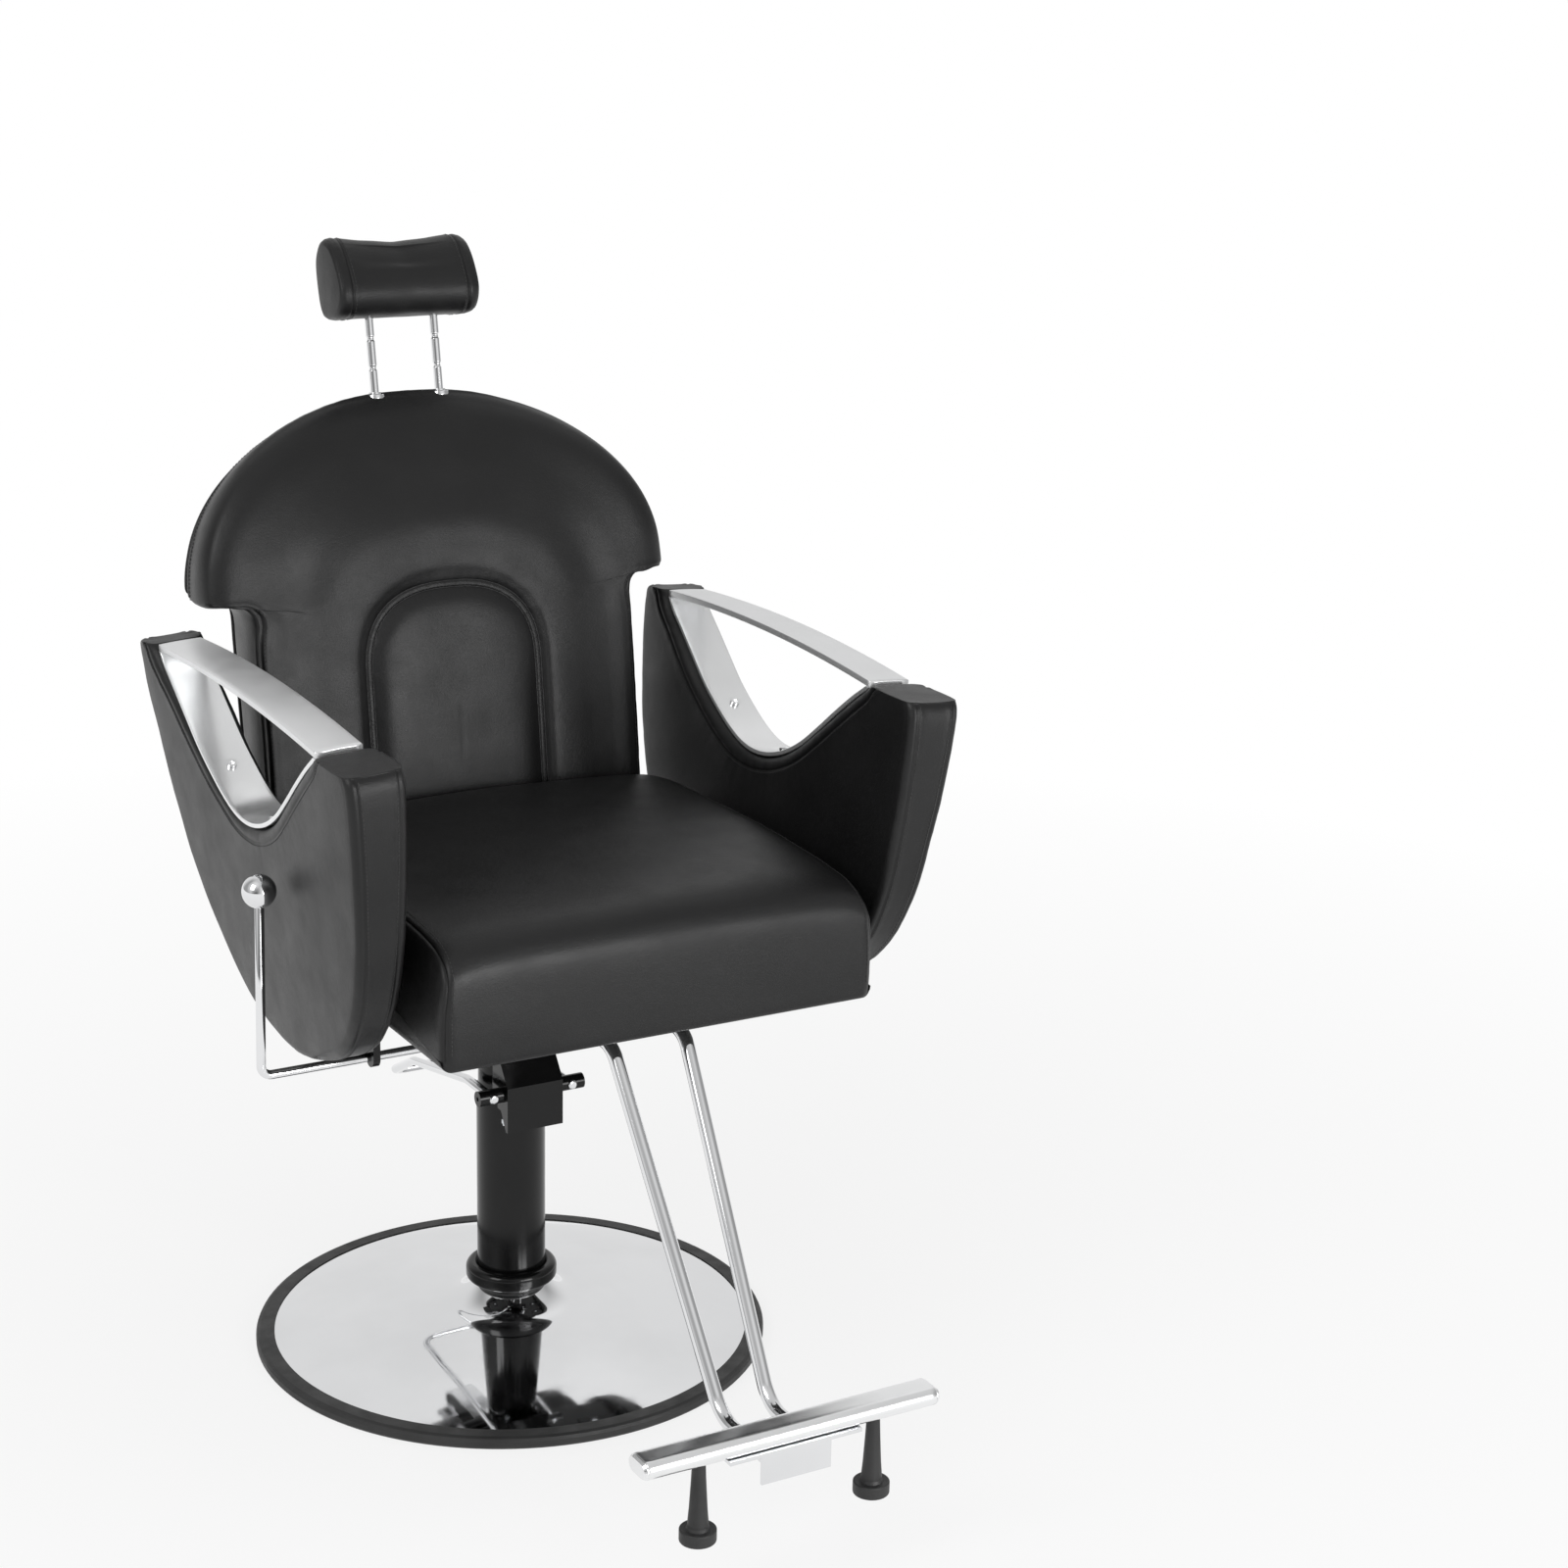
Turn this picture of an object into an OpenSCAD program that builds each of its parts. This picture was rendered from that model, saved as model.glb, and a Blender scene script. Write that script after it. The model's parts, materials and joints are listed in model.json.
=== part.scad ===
// Hydraulic barber chair: round base with a foot-operated pump, swivelling seat with
// bolted arms and footrest, reclining back on a bent strap, and a headrest on two posts.
// Origin: centre of the underside of the base. +Z up, the sitter faces -Y.

/* [Base] */
// Diameter over the rubber rim
base_d = 600; // [560:5:660]
// Width of the rubber rim seen from above
rim_w = 21; // [16:1:26]
// Height of the rubber rim
rim_h = 14; // [13:1:18]
// Thickness of the steel ballast plate
plate_t = 8; // [6:1:9]
// Thickness of the chromed cover disc
disc_t = 2.5; // [1.5:0.5:3.5]
// Rise of the cover disc from its edge to the collar
disc_rise = 34; // [20:1:44]

/* [Column] */
// Outer diameter of the pump column
column_d = 80; // [76:1:84]
// Wall of the pump column
column_wall = 3.5; // [2.5:0.5:4]
// Height of the shoulder between the column tube and the pump head
shoulder_z = 312; // [300:1:325]
// Height of the pump head above that shoulder
head_h = 44; // [40:1:48]
// Diameter of the collar ring at the foot of the column
collar_d = 107; // [100:1:116]
// Height of the underside of the collar ring
collar_z = 68; // [64:1:74]
// Height of the collar ring
collar_h = 21; // [16:1:26]

/* [Ram and pump] */
// Diameter of the ram that carries the seat
ram_d = 26; // [24:1:27]
// Distance of the ram in front of the column's axis
ram_offset = 18; // [16:0.5:18]
// Bore of the lift cylinder
lift_bore_d = 31; // [30:0.5:31.5]
// Diameter of the pump plunger
plunger_d = 10; // [8:0.5:11]
// Height of the axis of the pedal shaft
shaft_z = 322; // [320:0.5:324]
// Distance of the pedal shaft in front of the column's axis
shaft_offset = 52; // [51:0.5:54]
// Diameter of the pedal shaft
shaft_d = 18; // [16:1:19]
// Length of the pedal shaft
shaft_len = 132; // [124:1:140]

/* [Foot pedal] */
// Diameter of the pedal rod
pedal_rod_d = 11; // [10:0.5:12]
// Spacing of the two legs of the pedal loop
pedal_w = 99; // [97:1:110]
// How far the pedal loop reaches behind the column's axis
pedal_reach = 238; // [215:1:260]
// Height of the end of the pedal loop
pedal_end_z = 252; // [240:1:265]

/* [Seat] */
// Width of the seat cushion
seat_w = 506; // [480:2:520]
// Distance from the column's axis to the front of the seat
seat_front = 382; // [360:1:400]
// Height of the underside of the seat
seat_z = 500; // [495:1:505]
// Height of the seat cushion above the seat board, at the crown
cushion_h = 138; // [110:1:150]
// Thickness of the seat board
board_t = 12; // [9:1:15]

/* [Arms] */
// Gap between the side of the seat and the top of an arm
arm_clear = 35; // [30:1:42]
// Thickness of an arm at its top
arm_t = 64; // [58:1:66]
// Height of the top of the arms
arm_top_z = 825; // [810:1:840]
// Inward lean of the arms towards the floor, in degrees
arm_lean = 4; // [2:0.5:5]
// Width of the chromed bars and straps of the arms
trim_w = 50; // [40:1:50]
// Thickness of the arm top bar
bar_t = 8; // [6:0.5:10]
// Thickness of the arm strap
arm_strap_t = 5; // [4:0.5:6]

/* [Footrest] */
// Diameter of the footrest tubes
foot_tube_d = 16; // [14:1:18]
// Spacing of the footrest tubes under the seat
foot_tube_gap = 86; // [82:1:88]
// Spacing of the footrest tubes at the foot bar
foot_end_gap = 56; // [50:1:66]
// Length of the foot bar
foot_bar_len = 340; // [300:5:380]
// Width of the foot bar from front to back
foot_bar_w = 38; // [34:1:44]
// Thickness of the foot bar
foot_bar_t = 20; // [18:1:24]
// Height of the underside of the foot bar
foot_bar_z = 162; // [158:1:168]
// Distance of the foot bar in front of the column's axis
foot_reach = 645; // [630:1:660]
// Spacing of the rubber feet under the foot bar
foot_pad_gap = 202; // [190:2:220]
// Length of the rubber feet
foot_pad_h = 88; // [70:1:95]

/* [Back] */
// Height of the recline axis
pivot_z = 479; // [478:0.5:480]
// Distance of the recline axis behind the column's axis
pivot_y = 100.5; // [99:0.5:102]
// Backward slope of the upright back, in degrees
back_slope = 10; // [9:0.5:12]
// Width of the back at its dome
dome_w = 580; // [560:2:590]
// Width of the back below the notches
waist_w = 478; // [470:2:496]
// Distance from the recline axis to the notches, along the back
notch_s = 395; // [390:1:410]
// Distance from the recline axis to the top of the dome, along the back
dome_s = 624; // [614:1:634]
// Thickness of the back at its crown
back_t = 122; // [110:1:130]
// Width of the flat strap that carries the back
strap_w = 50; // [40:1:60]
// Thickness of that strap
strap_t = 7; // [6:0.5:8]
// Diameter of the hinge pin
hinge_pin_d = 16; // [14:1:18]

/* [Headrest] */
// Width of the headrest
headrest_w = 174; // [164:2:190]
// Height of the headrest
headrest_h = 93; // [84:1:100]
// Gap between the back and the raised headrest, along the posts
headrest_gap = 85; // [80:1:92]
// Diameter of the headrest posts
post_d = 10; // [8:0.5:11]
// Spacing of the headrest posts
post_gap = 81; // [70:1:100]

/* [Recline mechanism] */
// Sideways place of the locking strut
strut_x = -72; // [-74:0.5:-70]
// Diameter of the strut's cylinder
strut_d = 28; // [24:1:28]
// Diameter of the strut's rod
strut_rod_d = 10; // [8:0.5:11]
// Diameter of the recline lever's rod
lever_d = 10; // [8:0.5:11]
// Diameter of the ball on the recline lever
ball_d = 36; // [30:1:40]
// Distance of the lever's ball from the side of the seat
lever_out = 109; // [107:1:115]
// Height of the ball
ball_z = 648; // [600:1:660]

/* [Hidden] */
$fn = 64;
running = 0.05; // radial clearance of a running fit
gap = 0.3; // least distance between pieces that move apart
guide_gap = 0.3; // radial clearance of the headrest posts in their guides
pivot_play = 1.4; // radial play of the clevis pin in the lever arm
hidden_fn = 32;

rim_r = base_d / 2;
disc_r = rim_r - rim_w + 5;
disc_edge_z = rim_h - 2.3;
column_r = column_d / 2;
column_in = column_r - column_wall;
collar_r = collar_d / 2;
neck_r = column_r + 2;
tube_foot_z = collar_z - 8;
head_r = column_r - 2;
head_z = shoulder_z + head_h;
spigot_z = shoulder_z - 50;
ram_r = ram_d / 2;
ram_y = -ram_offset;
ram_top_z = seat_z - 30;
stub_r = ram_r - 2;
stub_top_z = seat_z - 10;
lift_bore_r = lift_bore_d / 2;
lift_wall = 2.5;
lift_floor_z = tube_foot_z + 2;
piston_z = lift_floor_z + 70 + gap;
piston_h = 20;
nose_r = 8;
seal_z = piston_z + 8;
seal_h = 5;
seal_in = lift_bore_r - 2;
wiper_h = 6;
wiper_r = ram_r + 3.5;

shaft_y = -shaft_offset;
shaft_r = shaft_d / 2;
plunger_x = 23.5;
plunger_y = -8;
plunger_r = plunger_d / 2;
plunger_cap_r = plunger_r + 3.6;
plunger_dome_r = 6;
finger_z = shaft_z + shaft_r;
finger_w = 9;
finger_h = 9;
finger_slot_w = finger_w + 4;
spring_z = shoulder_z - 26;
spring_top_z = finger_z - 16;
spring_wire = 1.6;
spring_r = plunger_r + 2;
spring_turns = 6;
barrel_z = spring_z - 70;
barrel_r = plunger_r + 2.2;

hood_w = 70;
hood_t = 2.5;
hood_top_z = head_z + 4;
lug_r = shaft_r + 2.4;
hood_front_y = shaft_y - lug_r - hood_t - 0.1;
hood_low_z = shoulder_z - 33;
cheek_z = shoulder_z - 11;
lug_in = 12;
lug_out = hood_w / 2 - hood_t;

pedal_r = pedal_rod_d / 2;
pedal_knee_z = shaft_z - 1;

seat_half = seat_w / 2;
board_top_z = seat_z + board_t;
back_clear = 9.5;
seat_corner = 16; // radius of the seat's upright corners
foam_lip = 8; // width of the cushion's lip round the seat board

arm_in = seat_half + arm_clear;
arm_mid = arm_in + arm_t / 2;
arm_taper = 0.055; // loss of thickness per millimetre below the top
arm_toe = 3; // more lean at the rear edge than at the front edge, in degrees
arm_edge = 11;
arm_crown = 1.5;
bar_back_y = 174;
bar_front_y = -288.5;
bar_rise = 10;

bracket_front_y = -140;
foot_tube_r = foot_tube_d / 2;
foot_end_z = foot_bar_z - 4 - foot_tube_r;
foot_y = -foot_reach;
foot_heel_y = foot_y + 84;
foot_knee_y = bracket_front_y - 201;
bracket_t = 6;
bracket_z = seat_z - bracket_t;
socket_r = foot_tube_r + 4.5;
foot_tube_z = bracket_z - socket_r + 0.5;
foot_cap_t = 4;
bracket_w = 200;
bracket_back_y = pivot_y + 28;
hub_r = 30;
hub_z = seat_z - 50;

pin_r = hinge_pin_d / 2;
barrel_out = pin_r + 8;
barrel_half = 84;
cheek_x = 88;
cheek_t = 6;

back_front = 14.5; // crown of the back in front of the recline axis, square to the back
back_rear = back_t - back_front;
cover_t = 12;
back_board_t = 12;
foam_rear = back_rear - cover_t - back_board_t;
back_low_s = 100;
post_w = 69.5;
guide_r = post_d / 2 + 3;
guide_len = 136;
guide_top_s = dome_s - 8;
bore_low_s = dome_s - guide_len - 92;
collar_out = guide_r + 4;
post_in_back = 122;
post_in_head = 58;
notch_pitch = 33.5;
headrest_s = dome_s + headrest_gap;
lumbar_half = 112;
lumbar_top_s = 404;

strut_front = [-128, 446]; // y and z of the strut's front pivot
clevis_off = [41.5, -49]; // y and z from the recline axis to the clevis pin
clevis_at = [pivot_y, pivot_z] + clevis_off;
strut_len = norm(clevis_at - strut_front);
strut_tilt = atan2(clevis_at.y - strut_front.y, clevis_at.x - strut_front.x);
strut_eye_r = 11;
strut_eye_w = 18;
clevis_pin_r = 4;
arm_plate_t = 10;
arm_end_r = clevis_pin_r + pivot_play + 3.2;

lever_x = seat_half + lever_out;
lever_y = -158;
lever_z = 441;
lever_lean = 2.5;
lever_r = lever_d / 2;
lever_bend = 12;
bearing_x = [17 - seat_half, -104];
bearing_t = 8;

strap_tail_w = back_rear - cover_t + strap_t / 2 + 0.1;

// ---------------------------------------------------------------- helpers

function unit(v) = v / norm(v);

// point i of an open Catmull-Rom spline, with its end points repeated
function knot(p, i) = p[max(0, min(len(p) - 1, i))];
function spline_at(p, i, t) =
    let (a = knot(p, i - 1), b = knot(p, i), c = knot(p, i + 1), d = knot(p, i + 2))
    0.5 * (2 * b + (c - a) * t + (2 * a - 5 * b + 4 * c - d) * t * t
        + (3 * b - a - 3 * c + d) * t * t * t);
function spline(p, steps) = [
    for (i = [0 : len(p) - 2]) for (k = [0 : steps - 1]) spline_at(p, i, k / steps),
    p[len(p) - 1]
];
// closed Catmull-Rom spline
function ring_spline(p, steps) =
    let (n = len(p))
    [for (i = [0 : n - 1]) for (k = [0 : steps - 1])
        let (q = [for (j = [-1 : 2]) p[(i + j + n) % n]]) spline_at(q, 1, k / steps)];

// round corner of an outline: centre, radius, first and last angle
function arc(c, r, a0, a1, n) = [
    for (i = [0 : n]) let (a = a0 + (a1 - a0) * i / n) c + r * [cos(a), sin(a)]
];

// closed solid through rings of equal length, each counterclockwise as seen from the
// last ring; the first and last ring are capped
module loft(rings) {
    n = len(rings[0]);
    m = len(rings);
    middle = function (r) [for (k = [0 : 2]) (min([for (p = r) p[k]]) + max([for (p = r) p[k]])) / 2];
    points = [for (r = rings) each r, middle(rings[0]), middle(rings[m - 1])];
    sides = [
        for (j = [0 : m - 2]) for (i = [0 : n - 1])
            let (a = j * n + i, b = j * n + (i + 1) % n)
            each [[a, b + n, b], [a, a + n, b + n]]
    ];
    first = [for (i = [0 : n - 1]) [i, (i + 1) % n, m * n]];
    last = [for (i = [0 : n - 1]) [(m - 1) * n + (i + 1) % n, (m - 1) * n + i, m * n + 1]];
    polyhedron(points, concat(sides, first, last));
}

function turn(u, v) = acos(max(-1, min(1, u * v)));

// runs p joined by bends of radius b at the inner corners, each bend in n steps
function rounded(p, b, n) = [
    p[0],
    for (i = [1 : len(p) - 2])
        let (u = unit(p[i] - p[i - 1]), v = unit(p[i + 1] - p[i]), a = turn(u, v),
            cut = b[i - 1] * tan(a / 2), m = unit(v - (v * u) * u))
        for (k = [0 : n])
            p[i] + u * (b[i - 1] * sin(a * k / n) - cut) + m * b[i - 1] * (1 - cos(a * k / n)),
    p[len(p) - 1]
];

// round rod of radius r along points p; side is a direction that no run follows
module rod_along(p, r, side, sides = 16) {
    n = len(p);
    loft([
        for (i = [0 : n - 1])
            let (before = i == 0 ? p[1] - p[0] : p[i] - p[i - 1],
                after = i == n - 1 ? before : p[i + 1] - p[i],
                t = unit(unit(before) + unit(after)),
                x = unit(cross(side, t)), y = cross(t, x),
                stretch = 1 / max(0.5, t * unit(before)))
            [for (k = [0 : sides - 1]) let (a = 360 * (k + 0.5) / sides)
                p[i] + r * (x * cos(a) + y * sin(a)) * (i == 0 || i == n - 1 ? 1 : stretch)]
    ]);
}

// outline of a flat strip of thickness t along points p
function strip_outline(p, t) = concat(
    [for (i = [0 : len(p) - 1]) p[i] + t / 2 * line_normal(p, i)],
    [for (i = [len(p) - 1 : -1 : 0]) p[i] - t / 2 * line_normal(p, i)]
);
function line_normal(p, i) =
    let (t = unit(knot(p, i + 1) - knot(p, i - 1))) [t.y, -t.x];

module tube(h, outer, inner) {
    difference() {
        cylinder(h = h, r = outer);
        translate([0, 0, -1]) cylinder(h = h + 2, r = inner);
    }
}

// turns a cylinder that stands along Z so that it lies along X, centred
module along_x() rotate([0, 90, 0]) children();

module mirrored() {
    children();
    mirror([1, 0, 0]) children();
}

// frame of the back: X sideways, Y square to the back towards the rear, Z up along the back
module back_frame() translate([0, pivot_y, pivot_z]) rotate([-back_slope, 0, 0]) children();

// frame of the locking strut: Z runs from the front pivot to the clevis pin
module strut_frame() {
    translate([strut_x, strut_front.x, strut_front.y])
        rotate([strut_tilt - 90, 0, 0]) children();
}

// ---------------------------------------------------------------- base

function disc_top(r) = disc_edge_z + disc_rise * (1 - pow(r / disc_r, 2));

module base_rim() {
    color([0.07, 0.07, 0.075])
        rotate_extrude($fn = 128) polygon([
            [disc_r + 0.2, 0], [rim_r - 2, 0], [rim_r, 2.5], [rim_r, rim_h - 5],
            [rim_r - 1.5, rim_h - 1.6], [rim_r - 5, rim_h], [rim_r - rim_w, rim_h],
            [rim_r - rim_w, disc_top(rim_r - rim_w) + 0.1], [disc_r + 0.2, disc_edge_z + 0.1]
        ]);
}

module base_disc() {
    steps = 18;
    hole = neck_r + 0.5;
    radii = [for (i = [0 : steps]) hole + (disc_r - hole) * i / steps];
    color([0.82, 0.82, 0.83])
        rotate_extrude($fn = 128) polygon(concat(
            [for (r = radii) [r, disc_top(r)]],
            [for (i = [steps : -1 : 0]) [radii[i], disc_top(radii[i]) - disc_t]]
        ));
}

module base_plate() {
    color([0.25, 0.25, 0.27])
        difference() {
            cylinder(h = plate_t, r = disc_r, $fn = 128);
            base_bolt_places() {
                translate([0, 0, -1]) cylinder(h = plate_t + 2, r = 5, $fn = hidden_fn);
                translate([0, 0, -1]) cylinder(h = 6.5, r = 9, $fn = hidden_fn);
            }
        }
}

module base_bolt_places() {
    for (a = [45 : 90 : 315]) rotate(a) translate([28, 0, 0]) children();
}

module base_bolts() {
    color([0.6, 0.6, 0.62])
        base_bolt_places() {
            translate([0, 0, 1]) cylinder(h = 4.5, r = 8, $fn = 6);
            translate([0, 0, 5.5]) cylinder(h = 34.5, r = 5, $fn = hidden_fn);
        }
}

module base_collar() {
    color([0.06, 0.06, 0.065])
        difference() {
            rotate_extrude() polygon(concat(
                [[0, plate_t], [neck_r, plate_t], [neck_r, collar_z - 4]],
                arc([collar_r - 6, collar_z + 6], 6, -80, 0, 5),
                arc([collar_r - 8, collar_z + collar_h - 8], 8, 0, 80, 6),
                [[column_r + 3, collar_z + collar_h], [column_r, collar_z + collar_h - 2],
                    [column_r, tube_foot_z], [0, tube_foot_z]]
            ));
            base_bolt_places()
                translate([0, 0, plate_t - 1]) cylinder(h = 33, r = 5, $fn = hidden_fn);
        }
}

// ---------------------------------------------------------------- column and pump

module pump_tube() {
    color([0.06, 0.06, 0.065])
        translate([0, 0, tube_foot_z])
            tube(shoulder_z - tube_foot_z, column_r, column_in);
}

module at_ram() translate([0, ram_y, 0]) children();
module at_plunger() translate([plunger_x, plunger_y, 0]) children();
module at_shaft() translate([0, shaft_y, shaft_z]) children();

module pump_head() {
    color([0.08, 0.08, 0.085])
        difference() {
            union() {
                rotate_extrude() polygon(concat(
                    [[0, spigot_z], [column_in - 0.1, spigot_z], [column_in - 0.1, shoulder_z],
                        [head_r, shoulder_z]],
                    arc([head_r - 2, head_z - 2], 2, 0, 90, 4),
                    [[0, head_z]]
                ));
                mirrored() translate([lug_in, 0, 0]) rotate([90, 0, 90])
                    linear_extrude(lug_out - lug_in) {
                        translate([shaft_y, shaft_z]) circle(r = lug_r);
                        translate([shaft_y, shoulder_z + 0.6])
                            square([40, shaft_z + lug_r - shoulder_z - 0.6]);
                    }
            }
            at_ram() {
                translate([0, 0, spigot_z - 1]) cylinder(h = head_z, r = ram_r + running);
                translate([0, 0, head_z - wiper_h]) cylinder(h = wiper_h + 1, r = wiper_r);
                translate([0, 0, spigot_z - 1]) cylinder(h = 13, r = lift_bore_r + lift_wall);
            }
            at_plunger() {
                translate([0, 0, spring_z]) cylinder(h = 40, r = plunger_cap_r + 0.9);
                translate([0, 0, spigot_z - 1]) cylinder(h = 40, r = barrel_r);
            }
            at_shaft() along_x() cylinder(h = 90, r = shaft_r + running, center = true);
            translate([plunger_x - finger_slot_w / 2, shaft_y - 14, shoulder_z - 2])
                cube([finger_slot_w, plunger_y - shaft_y + 24, finger_z + finger_h + 3 - shoulder_z + 2]);
        }
}

module hood_profile(t) {
    polygon([
        [-26, hood_top_z - t], [-26, hood_top_z], [-46, hood_top_z],
        [hood_front_y, hood_top_z - 27], [hood_front_y, hood_low_z],
        [hood_front_y + t, hood_low_z], [hood_front_y + t, hood_top_z - 28],
        [-46 + t * 0.6, hood_top_z - t]
    ]);
}

module head_hood() {
    color([0.05, 0.05, 0.055])
        difference() {
            union() {
                rotate([90, 0, 90]) linear_extrude(hood_w, center = true) hood_profile(hood_t);
                mirrored() rotate([90, 0, 90]) translate([0, 0, hood_w / 2 - hood_t])
                    linear_extrude(hood_t) polygon([
                        [-26, hood_top_z], [-46, hood_top_z], [hood_front_y, hood_top_z - 27],
                        [hood_front_y, hood_low_z], [hood_front_y + 5, hood_low_z],
                        [-48, cheek_z], [-39, cheek_z], [-39, shoulder_z + 3], [-26, shoulder_z + 3]
                    ]);
            }
            at_shaft() along_x() cylinder(h = 90, r = shaft_r + gap, center = true);
            cylinder(h = head_z + 0.1, r = head_r + 0.05);
            at_ram() cylinder(h = hood_top_z + 1, r = wiper_r + 1);
        }
}

module ram_cylinder() {
    color([0.7, 0.7, 0.72])
        at_ram() translate([0, 0, tube_foot_z])
            difference() {
                cylinder(h = spigot_z + 12 - tube_foot_z, r = lift_bore_r + lift_wall);
                translate([0, 0, lift_floor_z - tube_foot_z]) cylinder(h = 300, r = lift_bore_r);
            }
}

module gland_seal() {
    color([0.05, 0.05, 0.05])
        at_ram() translate([0, 0, head_z - wiper_h])
            difference() {
                union() {
                    cylinder(h = wiper_h, r = wiper_r);
                    translate([0, 0, wiper_h]) cylinder(h = 2, r1 = wiper_r - 0.5, r2 = wiper_r - 2);
                }
                translate([0, 0, -1]) cylinder(h = wiper_h + 4, r = ram_r + running);
            }
}

module plunger_barrel() {
    color([0.7, 0.7, 0.72])
        at_plunger() translate([0, 0, barrel_z])
            difference() {
                cylinder(h = spring_z - barrel_z, r = barrel_r);
                translate([0, 0, 4]) cylinder(h = 100, r = plunger_r + running);
            }
}

module release_valve() {
    color([0.75, 0.75, 0.76])
        translate([-lug_out + 3.5, shaft_y + 6.5, 0]) {
            translate([0, 0, hood_low_z + 2]) cylinder(h = shaft_z - 14 - hood_low_z - 2, r = 2.5);
            translate([0, 0, hood_low_z + 5]) cylinder(h = 5, r = 4, $fn = 6);
        }
}

// ---------------------------------------------------------------- foot pedal

module pedal_shaft() {
    lever = plunger_y - shaft_y + 6;
    color([0.07, 0.07, 0.075])
        at_shaft() difference() {
            union() {
                along_x() cylinder(h = shaft_len, r = shaft_r, center = true);
                translate([plunger_x - finger_w / 2, 0, shaft_r]) cube([finger_w, lever, finger_h]);
                translate([plunger_x - finger_w / 2, 0, 0])
                    cube([finger_w, shaft_r + 2, shaft_r + finger_h]);
            }
            mirrored() translate([pedal_w / 2, 0, 0]) rotate([90, 0, 0])
                cylinder(h = 40, r = pedal_r, center = true);
            mirrored() translate([shaft_len / 2 - 3, 0, 0]) along_x()
                cylinder(h = 8, r = 3, $fn = 6);
        }
}

module foot_pedal() {
    x = pedal_w / 2;
    front = shaft_y - shaft_r - 2;
    leg = [
        [x, shaft_y + shaft_r + 3, shaft_z], [x, 12, pedal_knee_z],
        [x, 168, pedal_end_z + 38], [x, pedal_reach, pedal_end_z]
    ];
    path = concat(leg, [for (i = [len(leg) - 1 : -1 : 0]) [-leg[i].x, leg[i].y, leg[i].z]]);
    color([0.85, 0.85, 0.86]) {
        rod_along(rounded(path, [60, 60, 20, 20, 60, 60], 5), pedal_r, [0, 0.3, 1]);
        mirrored() translate([x, front, shaft_z]) rotate([-90, 0, 0])
            cylinder(h = shaft_y + shaft_r + 5 - front, r = pedal_r);
    }
}

// ---------------------------------------------------------------- plunger

module pump_plunger() {
    dome_z = finger_z - gap - plunger_dome_r;
    color([0.75, 0.75, 0.77])
        at_plunger() {
            translate([0, 0, barrel_z + 24]) cylinder(h = spring_top_z - barrel_z - 24, r = plunger_r);
            translate([0, 0, spring_top_z]) cylinder(h = 3, r = plunger_cap_r);
            translate([0, 0, spring_top_z + 3]) cylinder(h = dome_z - spring_top_z - 3, r = plunger_dome_r);
            translate([0, 0, dome_z]) intersection() {
                sphere(r = plunger_dome_r);
                translate([0, 0, plunger_dome_r]) cube(2 * plunger_dome_r, center = true);
            }
        }
}

module plunger_spring() {
    ring = 8;
    sides = 6;
    height = spring_top_z - spring_z - gap - spring_wire;
    rings = [
        for (i = [0 : spring_turns * ring])
            let (a = 360 * i / ring,
                z = spring_z + gap + spring_wire / 2 + height * i / (spring_turns * ring))
            [for (k = [0 : sides - 1])
                let (b = -360 * k / sides, r = spring_r + spring_wire / 2 * cos(b))
                [r * cos(a), r * sin(a), z + spring_wire / 2 * sin(b)]]
    ];
    pitch = height / spring_turns;
    echo(spring_least_gap = pitch - spring_wire);
    color([0.7, 0.7, 0.7]) at_plunger() loft(rings);
}

// ---------------------------------------------------------------- lift

module ram_rod() {
    color([0.85, 0.85, 0.86])
        at_ram() rotate_extrude() polygon([
            [0, piston_z], [nose_r, piston_z], [nose_r, piston_z + piston_h],
            [ram_r, piston_z + piston_h], [ram_r, ram_top_z - 1], [ram_r - 1, ram_top_z],
            [stub_r, ram_top_z], [stub_r, stub_top_z - 1], [stub_r - 1, stub_top_z], [0, stub_top_z]
        ]);
}

module piston_head() {
    color([0.55, 0.55, 0.57])
        at_ram() rotate_extrude() polygon([
            [nose_r, piston_z], [lift_bore_r - running, piston_z], [lift_bore_r - running, seal_z],
            [seal_in, seal_z], [seal_in, seal_z + seal_h], [lift_bore_r - running, seal_z + seal_h],
            [lift_bore_r - running, piston_z + piston_h], [nose_r, piston_z + piston_h]
        ]);
}

module piston_seal() {
    color([0.05, 0.05, 0.05])
        at_ram() translate([0, 0, seal_z]) tube(seal_h, lift_bore_r - running, seal_in);
}

// ---------------------------------------------------------------- seat frame

bracket_holes = [for (x = [-80, 80]) for (y = [-95, -30, 45]) [x, y]];
arm_bracket_y = [-110, 20];
arm_bracket_out = seat_half + 3;
arm_bracket_x = arm_bracket_out - 61; // of its bolts
arm_bracket_holes = [for (s = [-1, 1]) for (y = arm_bracket_y) [s * arm_bracket_x, y]];

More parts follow.
